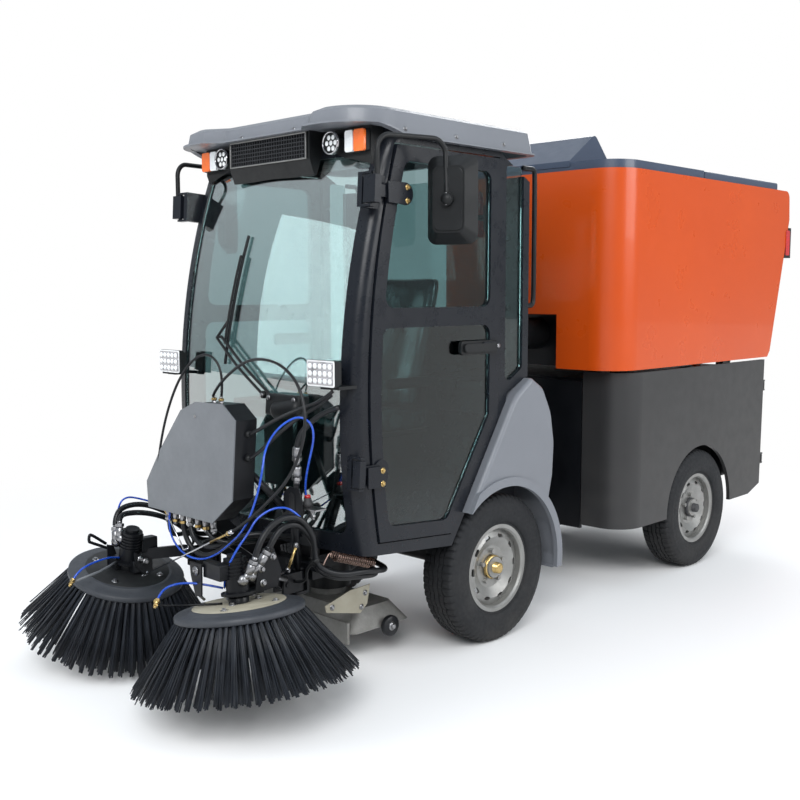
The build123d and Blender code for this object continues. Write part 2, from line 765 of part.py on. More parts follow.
with BuildPart() as front_frame:
    rail_rear = tongue_beam_x - 35
    rail_mid_z = (rail_low_z + rail_high_z) / 2
    for name, side in SIDES:
        with Locations(((nose_beam_x + rail_rear) / 2, side * front_rail_y, rail_mid_z)):
            Box(nose_beam_x - rail_rear, rail_width, rail_high_z - rail_low_z)
        # cab posts on the rails
        for x in POST_X:
            with Locations((x, side * front_rail_y, rail_high_z)):
                Box(50, 50, post_height, align=(Align.CENTER, Align.CENTER, Align.MIN))
    with Locations((nose_beam_x, 0, rail_mid_z)):
        Box(60, 2 * nose_beam_half, rail_high_z - rail_low_z)
    with Locations((tongue_beam_x, 0, rail_mid_z)):
        Box(70, 2 * front_rail_y, rail_high_z - rail_low_z)
    # saddle of the suction duct
    with Locations((tongue_beam_x, 0, rail_high_z)):
        Box(40, 130, 200, align=(Align.CENTER, Align.CENTER, Align.MIN))
    # tongue and knuckle of the steering pivot
    with BuildSketch(Plane.XY.offset(knuckle_low_z)):
        with Locations(((tongue_beam_x + pivot_x) / 2, 0)):
            Rectangle(tongue_beam_x - pivot_x, 2 * knuckle_radius)
        with Locations((pivot_x, 0)):
            Circle(knuckle_radius)
    extrude(amount=knuckle_high_z - knuckle_low_z)
    with Locations((pivot_x, 0, (knuckle_low_z + knuckle_high_z) / 2)):
        Cylinder(pivot_pin_radius + pin_gap, 400, mode=Mode.SUBTRACT)
    add(duct_tube(duct_radius + seat_gap), mode=Mode.SUBTRACT)
    add(cab_envelope, mode=Mode.SUBTRACT)
    # what rose above the cab's floor is cut off
    with Locations((front_x(300), 0, 1155)):
        Box(1500, 1000, 700, align=(Align.CENTER, Align.CENTER, Align.MIN), mode=Mode.SUBTRACT)
    with Locations((front_x(600), 0, 560)):
        Box(900, 1000, 900, align=(Align.CENTER, Align.CENTER, Align.MIN), mode=Mode.SUBTRACT)
    # lugs and pins of the broom carriers on the nose beam
    lug_mid_z = (carrier_low_z + carrier_high_z) / 2
    lug_height = carrier_high_z - carrier_low_z + 2 * (lug_gap + swing_lug)
    for name, side in SIDES:
        for z, align_z in ((carrier_high_z + lug_gap, Align.MIN), (carrier_low_z - lug_gap, Align.MAX)):
            with Locations((nose_beam_x + 24, side * swing_pin_y, z)):
                Box(swing_pin_x - nose_beam_x - 24, 56, swing_lug, align=(Align.MIN, Align.CENTER, align_z))
            with Locations((swing_pin_x, side * swing_pin_y, z)):
                Cylinder(28, swing_lug, align=(Align.CENTER, Align.CENTER, align_z))
        with Locations((nose_beam_x + 25, side * swing_pin_y, lug_mid_z)):
            Box(10, 56, lug_height, align=(Align.MIN, Align.CENTER, Align.CENTER))
        with Locations((swing_pin_x, side * swing_pin_y, lug_mid_z)):
            Cylinder(swing_pin_radius, lug_height + 8)
    # mast of the valve box
    for side in (-1, 1):
        with BuildSketch(long_plane(side * mast_y)):
            Polygon(*MAST_OUTLINE, align=None)
        extrude(amount=mast_plate / 2, both=True)
    # steering cylinder's barrel and its bracket under the right rail
    with Locations((steer_base_x, steer_y - 20, steer_z - steer_barrel_radius)):
        Box(50, 2 * (front_rail_y - 30 + steer_y) + 40, rail_low_z + 20 - steer_z + steer_barrel_radius,
            align=(Align.CENTER, Align.CENTER, Align.MIN))
    with Locations(Plane(origin=(steer_base_x, steer_y, steer_z), z_dir=(-1, 0, 0))):
        Cylinder(steer_barrel_radius, steer_barrel_length, align=(Align.CENTER, Align.CENTER, Align.MIN))
    with Locations(Plane(origin=(steer_base_x - 30, steer_y, steer_z), z_dir=(-1, 0, 0))):
        Cylinder(steer_rod_radius + pin_gap, steer_barrel_length,
                 align=(Align.CENTER, Align.CENTER, Align.MIN), mode=Mode.SUBTRACT)
finish(front_frame, "front_frame")

# ---------------------------------------------------------------- axles
beam_radius = 42.0
hub_inner_y = wheel_mid_y - 20
stub_end_y = wheel_mid_y + (rim_half_width + seat_gap + flange_thickness - disc_inset) + 7
for name, axle_x, rail_y in (("front_axle", front_axle_x, front_rail_y), ("rear_axle", rear_axle_x, wheel_face_y - tyre_width - 171)):
    with BuildPart() as axle:
        with Locations(Plane(origin=(axle_x, 0, axle_z), z_dir=(0, 1, 0))):
            Cylinder(beam_radius, 2 * (hub_inner_y - 6))
            Cylinder(stub_radius, 2 * stub_end_y)
        with Locations(Plane(origin=(axle_x, 0, axle_z), z_dir=(0, 1, 0))):
            with Locations((0, 0, hub_inner_y - 16), (0, 0, 16 - hub_inner_y)):
                Cylinder(92, 18)
        with Locations((axle_x, rail_y, axle_z), (axle_x, -rail_y, axle_z)):
            Box(110, 56, rail_low_z - seat_gap - axle_z, align=(Align.CENTER, Align.CENTER, Align.MIN))
    finish(axle, name)

# ---------------------------------------------------------------- suction nozzle
nozzle_half_width = 360.0
nozzle_length = 330.0
nozzle_low_z = 130.0        # raised for travel
nozzle_top_z = 210.0
nozzle_mid_x = front_x(490)
nozzle_taper = 55.0
nozzle_wall = 14.0
flap_drop = 45.0
flap_thickness = 12.0


def nozzle_body(inset, low, high):
    """Flat pyramid of the nozzle, with its walls moved inwards by the inset."""
    with BuildPart() as body:
        for z, narrow in ((low, 0), (high, nozzle_taper)):
            with BuildSketch(Plane.XY.offset(z)):
                with Locations((nozzle_mid_x, 0)):
                    RectangleRounded(nozzle_length - 2 * (narrow + inset), 2 * (nozzle_half_width - narrow - inset), 30)
        loft()
    return body.part


with BuildPart() as nozzle:
    add(nozzle_body(0, nozzle_low_z, nozzle_top_z))
    # outlet spigot in the duct's sleeve
    with Locations((sleeve_x, 0, nozzle_top_z - nozzle_wall)):
        Cylinder(spigot_radius, sleeve_low_z + 100 - nozzle_top_z, align=(Align.CENTER, Align.CENTER, Align.MIN))
    # open mouth below, and the spigot's bore
    add(nozzle_body(nozzle_wall, nozzle_low_z - 1, nozzle_top_z - nozzle_wall), mode=Mode.SUBTRACT)
    with Locations((sleeve_x, 0, nozzle_low_z)):
        Cylinder(spigot_radius - 6, 300, align=(Align.CENTER, Align.CENTER, Align.MIN), mode=Mode.SUBTRACT)
    # rubber flap along the front
    with Locations((nozzle_mid_x + nozzle_length / 2 - 4, 0, nozzle_low_z - flap_drop)):
        Box(flap_thickness, 2 * nozzle_half_width - 60, 90, align=(Align.MIN, Align.CENTER, Align.MIN))
finish(nozzle, "nozzle")

# ---------------------------------------------------------------- brooms and their arms
def broom_frame(side, x_offset, y, z, lean):
    """Plane on a broom's disc, with its normal up the broom's shaft."""
    up = Vector(-sin(radians(broom_rake)), -side * sin(radians(lean)), cos(radians(lean)))
    return Plane(origin=(front_x(x_offset), side * y, z), z_dir=up, x_dir=(1, 0, sin(radians(broom_rake))))


for name, side, x_offset, broom_y, disc_z, lean, broom_tip_radius in BROOMS:
    broom_plane = broom_frame(side, x_offset, broom_y, disc_z, lean)
    up = broom_plane.z_dir
    motor_plane = broom_plane.offset(mount_gap)

    with BuildPart() as carrier:
        with Locations((swing_pin_x, side * swing_pin_y, carrier_low_z)):
            Cylinder(ear_spread / 2, carrier_high_z - carrier_low_z,
                     align=(Align.CENTER, Align.CENTER, Align.MIN))
            Box(lift_pin_x - swing_pin_x + 20, ear_spread, carrier_high_z - carrier_low_z,
                align=(Align.MIN, Align.CENTER, Align.MIN))
        with Locations((swing_pin_x + 36, side * swing_pin_y, carrier_low_z - 1)):
            Box(200, arm_root_width + 6, carrier_high_z - carrier_low_z + 2,
                align=(Align.MIN, Align.CENTER, Align.MIN), mode=Mode.SUBTRACT)
        with Locations(Plane(origin=(lift_pin_x, side * swing_pin_y, lift_pin_z), z_dir=(0, 1, 0))):
            Cylinder(lift_pin_radius, ear_spread + 8)
        with Locations((swing_pin_x, side * swing_pin_y, carrier_low_z - 1)):
            Cylinder(swing_pin_radius + pin_gap, 200, align=(Align.CENTER, Align.CENTER, Align.MIN),
                     mode=Mode.SUBTRACT)
    finish(carrier, f"broom_carrier_{name}")

    root = Vector(lift_pin_x, side * swing_pin_y, lift_pin_z)
    knee = Vector(lift_pin_x + 60, side * swing_pin_y, disc_z + arm_rise)
    neck = motor_plane.origin + up * (arm_size / 2)
    with BuildPart() as arm:
        with BuildLine() as arm_line:
            Polyline(root, knee, neck)
        with BuildSketch(Plane(origin=root, z_dir=knee - root, x_dir=(0, 1, 0))):
            Rectangle(arm_root_width, arm_size)
        sweep(path=arm_line.line, transition=Transition.RIGHT)
        with Locations(Plane(origin=root, z_dir=(0, 1, 0))):
            Cylinder(24, arm_root_width)
        with Locations(motor_plane):
            Cylinder(62, 10, align=(Align.CENTER, Align.CENTER, Align.MIN))
            Cylinder(motor_radius, motor_height, align=(Align.CENTER, Align.CENTER, Align.MIN))
            # cooling ribs of the motor, and its hose ports
            for rib in range(motor_ribs):
                with Locations((0, 0, 66 + rib * 13)):
                    Cylinder(motor_radius + 5, 6)
            with Locations((0, 0, motor_height)):
                Cylinder(motor_radius - 14, 14, align=(Align.CENTER, Align.CENTER, Align.MIN))
        # what hangs below the motor plate is cut away to leave the hub room
        with Locations(motor_plane):
            Cylinder(120, 80, align=(Align.CENTER, Align.CENTER, Align.MAX), mode=Mode.SUBTRACT)
            Cylinder(shaft_radius, mount_gap + 20, align=(Align.CENTER, Align.CENTER, Align.MAX))
        with Locations(Plane(origin=root, z_dir=(0, 1, 0))):
            Cylinder(lift_pin_radius + pin_gap, 200, mode=Mode.SUBTRACT)
    finish(arm, f"broom_arm_{name}")

    with BuildPart() as broom:
        with Locations(broom_plane):
            Cylinder(broom_disc_radius, disc_thickness, align=(Align.CENTER, Align.CENTER, Align.MAX))
            Cylinder(60, mount_gap - 8, align=(Align.CENTER, Align.CENTER, Align.MIN))
            with PolarLocations(150, 4):
                Cylinder(13, 8, align=(Align.CENTER, Align.CENTER, Align.MIN))
        # ring of short bristle roots, and the long tufts that come out of it
        tuft_top = broom_disc_radius - 22
        with BuildSketch(broom_plane.offset(-20)):
            Circle(broom_disc_radius - 4)
            Circle(broom_disc_radius - 40, mode=Mode.SUBTRACT)
        with BuildSketch(broom_plane.offset(-20 - ring_drop)):
            ring_out = broom_disc_radius - 4 + ring_drop * (broom_tip_radius - broom_disc_radius) / broom_drop
            Circle(ring_out)
            Circle(ring_out - 38, mode=Mode.SUBTRACT)
        loft()
        with BuildPart(mode=Mode.PRIVATE) as tuft:
            with BuildSketch(broom_plane.offset(-16)):
                with Locations((tuft_top, 0)):
                    Rectangle(26, 21)
            with BuildSketch(broom_plane.offset(-broom_drop)):
                with Locations((broom_tip_radius - 20, 0)):
                    Rectangle(34, 34)
            loft(ruled=True)
        for count in range(tuft_count):
            add(tuft.part.rotate(Axis(broom_plane.origin, up), count * 360 / tuft_count))
        with Locations(broom_plane.offset(-26)):
            Cylinder(shaft_radius + pin_gap, 200, align=(Align.CENTER, Align.CENTER, Align.MIN),
                     mode=Mode.SUBTRACT)
    finish(broom, f"broom_{name}")

# ---------------------------------------------------------------- valve box on its mast
VALVE_OUTLINE = (           # Y, Z of the front plate
    (-285.0, valve_low_z), (150.0, valve_low_z), (272.0, 752.0), (300.0, 1052.0),
    (225.0, 1105.0), (55.0, 1100.0), (-40.0, 1062.0), (-190.0, 892.0), (-292.0, 755.0),
)
valve_plate_thickness = 6.0
with BuildPart() as valve_box:
    with BuildSketch(Plane.YZ.offset(valve_front_x - valve_depth)):
        Polygon(*VALVE_OUTLINE, align=None)
    extrude(amount=valve_depth - valve_plate_thickness)
finish(valve_box, "valve_box")

with BuildPart() as valve_plate:
    with BuildSketch(Plane.YZ.offset(valve_front_x - valve_plate_thickness + seat_gap)):
        Polygon(*VALVE_OUTLINE, align=None)
        offset(amount=5, kind=Kind.INTERSECTION)
    extrude(amount=valve_plate_thickness)
finish(valve_plate, "valve_plate")

# ---------------------------------------------------------------- inside the cab
seat_mid_x = front_x(250)
cushion_low_z = 905.0
column_foot = Vector(front_x(700), 0, 556)
column_top = Vector(front_x(560), 0, 1090)
column_dir = (column_top - column_foot).normalized()
wheel_radius = 178.0
cab_inside = cab_block(cab_wall + seat_gap)
with BuildPart() as seat:
    with Locations((seat_mid_x + 20, 0, 500)):
        Box(430, 420, cushion_low_z - 500, align=(Align.CENTER, Align.CENTER, Align.MIN))
    add(cab_inside, mode=Mode.INTERSECT)
    with Locations((seat_mid_x, 0, cushion_low_z)):
        Box(470, 480, 110, align=(Align.CENTER, Align.CENTER, Align.MIN))
    with BuildSketch(long_plane(230)):
        Polygon((seat_mid_x - 255, 990), (seat_mid_x - 150, 990), (seat_mid_x - 230, 1600),
                (seat_mid_x - 310, 1600), align=None)
    extrude(amount=460)
    add(cab_inside, mode=Mode.INTERSECT)
finish(seat, "seat")

with BuildPart() as dash:
    with Locations(Plane(origin=column_foot, z_dir=column_dir)):
        Cylinder(34, (column_top - column_foot).length - 30, align=(Align.CENTER, Align.CENTER, Align.MIN))
    with Locations((front_x(690), 0, 500)):
        Box(150, 300, 150, align=(Align.CENTER, Align.CENTER, Align.MIN))
    with Locations((front_x(700), -60, 1000)):
        Box(130, 420, 66, align=(Align.CENTER, Align.CENTER, Align.MIN))
    with Locations((front_x(690), -60, 600)):
        Box(60, 120, 420, align=(Align.CENTER, Align.CENTER, Align.MIN))
    with Locations(Plane(origin=column_top - column_dir * 34, z_dir=column_dir)):
        Cylinder(10, 60, align=(Align.CENTER, Align.CENTER, Align.MIN))
    add(cab_inside, mode=Mode.INTERSECT)
finish(dash, "dash")

wheel_centre = column_top + column_dir * 20
wheel_plane = Plane(origin=wheel_centre, z_dir=column_dir)
with BuildPart() as steering_wheel:
    with Locations(wheel_plane):
        Torus(wheel_radius, 15)
        Cylinder(34, 34)
        with PolarLocations(wheel_radius / 2, 3, start_angle=90):
            Box(wheel_radius, 30, 8)
        Cylinder(10 + pin_gap, 14, align=(Align.CENTER, Align.CENTER, Align.MAX), mode=Mode.SUBTRACT)
    with Locations(wheel_plane.offset(-17)):
        Cylinder(10 + pin_gap, 24, align=(Align.CENTER, Align.CENTER, Align.MIN), mode=Mode.SUBTRACT)
finish(steering_wheel, "steering_wheel")

# ---------------------------------------------------------------- steering cylinder's rod
steer_eye_radius = 24.0
steer_eye_height = 26.0
ear_low_z = steer_z + steer_eye_height / 2 + 2 * seat_gap
with BuildPart() as steer_rod:
    with Locations(Plane(origin=(pivot_x + 15, steer_y, steer_z), z_dir=(1, 0, 0))):
        Cylinder(steer_rod_radius, 200, align=(Align.CENTER, Align.CENTER, Align.MIN))
    with Locations((pivot_x, steer_y, steer_z)):
        Cylinder(steer_eye_radius, steer_eye_height)
        Cylinder(9, 100, mode=Mode.SUBTRACT)
finish(steer_rod, "steer_rod")

# ---------------------------------------------------------------- rear chassis
bulkhead_setback = 170.0    # behind the steering pivot
bulkhead_x = pivot_x - bulkhead_setback
bulkhead_thickness = 20.0
bulkhead_half = 338.0
bulkhead_low_z = 300.0
body_rear_x = rear_x(-745)
tip_y = wheel_face_y - tyre_width - 81
rear_rail_y = tip_y - 90
deck_z = 1066.0
deck_thickness = 12.0
deck_half = body_half_width - body_wall - seat_gap
hopper_pivot_x = rear_x(-730)
hopper_pivot_z = 1100.0
hopper_pin_radius = 12.0
hopper_lug_radius = 22.0
hopper_lug_y = tip_y + 30
frame_lug_spread = 30.0     # of the two frame lugs' middles
frame_lug_width = 15.0
tow_eye_radius = 16.0
tow_eye_x = body_rear_x - 22
tip_base_x = rear_x(60)
tip_base_z = 500.0
tip_pin_radius = 12.0
tip_barrel_radius = 30.0
with BuildPart() as rear_frame:
    rail_front = bulkhead_x - bulkhead_thickness - seat_gap
    rail_rear = body_rear_x + 45
    rail_height = rail_high_z - rail_low_z
    for name, side in SIDES:
        with Locations(((rail_front + rail_rear) / 2, side * rear_rail_y, rail_mid_z)):
            Box(rail_front - rail_rear, rail_width, rail_height)
        # tail posts with the lugs and pin of the hopper's hinge
        with Locations((rail_rear, side * hopper_lug_y, rail_low_z)):
            Box(50, 76, hopper_pivot_z - 40 - rail_low_z, align=(Align.MIN, Align.CENTER, Align.MIN))
        for offset_y in (-frame_lug_spread / 2, frame_lug_spread / 2):
            with BuildSketch(long_plane(side * hopper_lug_y + offset_y)):
                Polygon((rail_rear, hopper_pivot_z - 45), (rail_rear + 50, hopper_pivot_z - 60),
                        (rail_rear + 50, hopper_pivot_z - 10), (hopper_pivot_x + 12, hopper_pivot_z + 18),
                        (hopper_pivot_x - 22, hopper_pivot_z), (hopper_pivot_x - 16, hopper_pivot_z - 15),
                        align=None)
                with Locations((hopper_pivot_x, hopper_pivot_z)):
                    Circle(hopper_lug_radius)
            extrude(amount=frame_lug_width / 2, both=True)
        with Locations(Plane(origin=(hopper_pivot_x, side * hopper_lug_y, hopper_pivot_z), z_dir=(0, 1, 0))):
            Cylinder(hopper_pin_radius, frame_lug_spread + frame_lug_width + 6)
        # base pins of the tipping cylinders
        with Locations((tip_base_x, side * (rear_rail_y + 14), rail_high_z)):
            Box(60, 28, tip_base_z + 30 - rail_high_z, align=(Align.CENTER, Align.CENTER, Align.MIN))
        with Locations(Plane(origin=(tip_base_x, side * (rear_rail_y + 20), tip_base_z), z_dir=(0, side, 0))):
            Cylinder(tip_pin_radius, tip_y + 24 - rear_rail_y, align=(Align.CENTER, Align.CENTER, Align.MIN))
    for x in (rail_front - 30, rear_x(-330)):
        with Locations((x, 0, rail_mid_z)):
            Box(60, 2 * rear_rail_y, rail_height)
    with Locations((rail_rear + 25, 0, rail_mid_z)):
        Box(50, 2 * hopper_lug_y, rail_height)
    # tow eye under the tail
    with BuildSketch(Plane.XY.offset(rail_low_z)):
        with Locations(((rail_rear + 40 + tow_eye_x) / 2, 0)):
            Rectangle(rail_rear + 40 - tow_eye_x, 70)
        with Locations((tow_eye_x, 0)):
            Circle(35)
    extrude(amount=-20)
    with Locations((tow_eye_x, 0, rail_low_z)):
        Cylinder(tow_eye_radius, 80, mode=Mode.SUBTRACT)
finish(rear_frame, "rear_frame")

with BuildPart() as bulkhead:
    with Locations((bulkhead_x, 0, bulkhead_low_z)):
        Box(bulkhead_thickness, 2 * bulkhead_half, deck_z - seat_gap - bulkhead_low_z,
            align=(Align.MAX, Align.CENTER, Align.MIN))
    # lugs and pin of the steering pivot
    pin_low = knuckle_low_z - lug_gap - lug_thickness
    pin_high = knuckle_high_z + lug_gap + lug_thickness
    for z, align_z in ((knuckle_high_z + lug_gap, Align.MIN), (knuckle_low_z - lug_gap, Align.MAX)):
        with Locations((bulkhead_x, 0, z)):
            Box(pivot_x - bulkhead_x, 130, lug_thickness, align=(Align.MIN, Align.CENTER, align_z))
        with Locations((pivot_x, 0, z)):
            Cylinder(65, lug_thickness, align=(Align.CENTER, Align.CENTER, align_z))
    with Locations((pivot_x, 0, pin_low)):
        Cylinder(pivot_pin_radius, pin_high - pin_low, align=(Align.CENTER, Align.CENTER, Align.MIN))
    for y in (-58, 58):
        with Locations((bulkhead_x, y, pin_low)):
            Box(60, 12, pin_high - pin_low, align=(Align.MIN, Align.CENTER, Align.MIN))
    # ear for the steering cylinder's rod
    with Locations((pivot_x, steer_y / 2, ear_low_z)):
        Box(56, -steer_y, 12, align=(Align.CENTER, Align.CENTER, Align.MIN))
    with Locations((pivot_x, steer_y, ear_low_z)):
        Cylinder(28, 12, align=(Align.CENTER, Align.CENTER, Align.MIN))
    # bracket that carries the suction riser
    with Locations((bulkhead_x, 0, 930)):
        Box(pivot_x - bulkhead_x - duct_radius + 8, 80, 60, align=(Align.MIN, Align.CENTER, Align.MIN))
    with Locations((pivot_x, 0, 900)):
        Cylinder(duct_radius + seat_gap, 400, mode=Mode.SUBTRACT, align=(Align.CENTER, Align.CENTER, Align.MIN))
finish(bulkhead, "bulkhead")

inlet_z = 1300.0
inlet_radius = 80.0
recess_half = 240.0
recess_top_z = 1405.0
recess_depth = 160.0
hopper_front_x = pivot_x - 78
inlet_x = hopper_front_x - recess_depth
riser_low_z = swivel_z + seat_gap
with BuildPart() as suction_riser:
    with BuildLine() as riser_line:
        FilletPolyline((pivot_x, 0, riser_low_z), (pivot_x, 0, inlet_z), (inlet_x + lug_gap, 0, inlet_z), radius=88)
    with BuildSketch(Plane(origin=riser_line.line @ 0, z_dir=riser_line.line % 0)):
        Circle(duct_radius)
    sweep(path=riser_line.line)
    with Locations((pivot_x, 0, riser_low_z)):
        Cylinder(duct_radius + duct_flange, duct_flange, align=(Align.CENTER, Align.CENTER, Align.MIN))
finish(suction_riser, "suction_riser")

with BuildPart() as engine:
    with Locations((rear_x(-140), 0, rail_high_z + seat_gap)):
        Box(640, 440, 500, align=(Align.CENTER, Align.CENTER, Align.MIN))
    fillet(engine.edges().filter_by(Axis.Z), 30)
finish(engine, "engine")

# ---------------------------------------------------------------- lower rear body
panel_corner_radius = 150.0
panel_front_y = 345.0
panel_front_x = bulkhead_x + 2
rear_arch_radius = 352.0
engine_pin_radius = 6.0     # hinges of the engine door on the left panel's rear edge
engine_hinge_x = body_rear_x - 12
engine_hinge_y = body_half_width - 10
engine_hinge_height = 40.0
ENGINE_HINGE_Z = (520.0, 960.0)
PANEL_OUTLINE = (           # X, Z round the side panel without its arch
    (panel_front_x + 10, body_bottom_z), (panel_front_x + 10, body_top_z), (body_rear_x, body_top_z),
    (body_rear_x + 18, body_bottom_z + 52), (body_rear_x + 158, body_bottom_z + 4), (rear_x(-200), body_bottom_z),
)
for name, side in SIDES:
    with BuildPart() as panel:
        # plan of the sheet: along the side, round the corner and across the front
        with BuildSketch(Plane.XY.offset(body_bottom_z)):
            for inset, mode in ((0, Mode.ADD), (body_wall, Mode.SUBTRACT)):
                with BuildLine(mode=Mode.PRIVATE) as plan:
                    FilletPolyline(
                        (body_rear_x - inset, side * (body_half_width - inset)),
                        (panel_front_x - inset, side * (body_half_width - inset)),
                        (panel_front_x - inset, side * (panel_front_y - inset)),
                        radius=panel_corner_radius - inset,
                    )
                    Polyline(plan.line @ 1, (body_rear_x - inset, side * (panel_front_y - inset)), plan.line @ 0)
                make_face(plan.line.edges(), mode=mode)
        extrude(amount=body_top_z - body_bottom_z)
        with BuildSketch(long_plane(side * (body_half_width + 10))):
            Polygon(*PANEL_OUTLINE, align=None)
            with Locations((rear_axle_x, axle_z)):
                Circle(rear_arch_radius, mode=Mode.SUBTRACT)
        extrude(amount=side * (body_half_width - panel_front_y + 40), mode=Mode.INTERSECT)
        if side > 0:
            for z in ENGINE_HINGE_Z:
                ear_offset = engine_hinge_height / 2 + 7
                for end in (-1, 1):
                    with Locations((engine_hinge_x - 8, engine_hinge_y, z + end * ear_offset)):
                        Box(44, 16, 10, align=(Align.MIN, Align.CENTER, Align.CENTER))
                with Locations((engine_hinge_x, engine_hinge_y, z)):
                    Cylinder(engine_pin_radius, 2 * ear_offset)
    finish(panel, f"rear_panel_{name}")

slot_low_x = tip_base_x - 500
slot_length = 200.0
stop_size = 60.0
with BuildPart() as deck:
    deck_front = panel_front_x - body_wall - seat_gap
    with Locations(((deck_front + rail_rear + 55) / 2, 0, deck_z)):
        Box(deck_front - rail_rear - 55, 2 * deck_half, deck_thickness,
            align=(Align.CENTER, Align.CENTER, Align.MIN))
    fillet(deck.edges().filter_by(Axis.Z).group_by(Axis.X)[-1], panel_corner_radius - body_wall)
    for name, side in SIDES:
        # slot for the tipping cylinder, and a rubber stop under the hopper
        with Locations((slot_low_x, side * tip_y, deck_z - 1)):
            Box(slot_length, 84, 40, align=(Align.MIN, Align.CENTER, Align.MIN), mode=Mode.SUBTRACT)
        with Locations((deck_front - 60, side * (deck_half - 80), deck_z)):
            Box(stop_size, stop_size, hopper_bottom_z - seat_gap - deck_z,
                align=(Align.CENTER, Align.CENTER, Align.MIN))
finish(deck, "deck")

door_low_z = 400.0
door_high_z = 1064.0
engine_door_half = body_half_width - body_wall - swing_gap
engine_door_thickness = 22.0
louvre_pitch = 46.0
with BuildPart() as engine_door:
    with Locations((body_rear_x, 0, (door_low_z + door_high_z) / 2)):
        Box(engine_door_thickness, 2 * engine_door_half, door_high_z - door_low_z,
            align=(Align.MIN, Align.CENTER, Align.CENTER))
    # louvred field
    with BuildSketch(Plane.YZ.offset(body_rear_x - 5)):
        with Locations((0, door_high_z - 250)):
            with GridLocations(0, louvre_pitch, 1, 8):
                SlotOverall(760, 24)
    extrude(amount=40, mode=Mode.SUBTRACT)
    for z in ENGINE_HINGE_Z:
        with Locations((body_rear_x, engine_door_half - 6, z)):
            Box(9, 40, engine_hinge_height, align=(Align.MAX, Align.MAX, Align.CENTER))
        with Locations((body_rear_x - 3, engine_hinge_y, z)):
            Box(6, 40, engine_hinge_height, align=(Align.MAX, Align.MAX, Align.CENTER))
        with Locations((engine_hinge_x, engine_hinge_y, z)):
            Cylinder(engine_pin_radius + 3, engine_hinge_height)
            Cylinder(engine_pin_radius + pin_gap, 80, mode=Mode.SUBTRACT)
finish(engine_door, "engine_door")

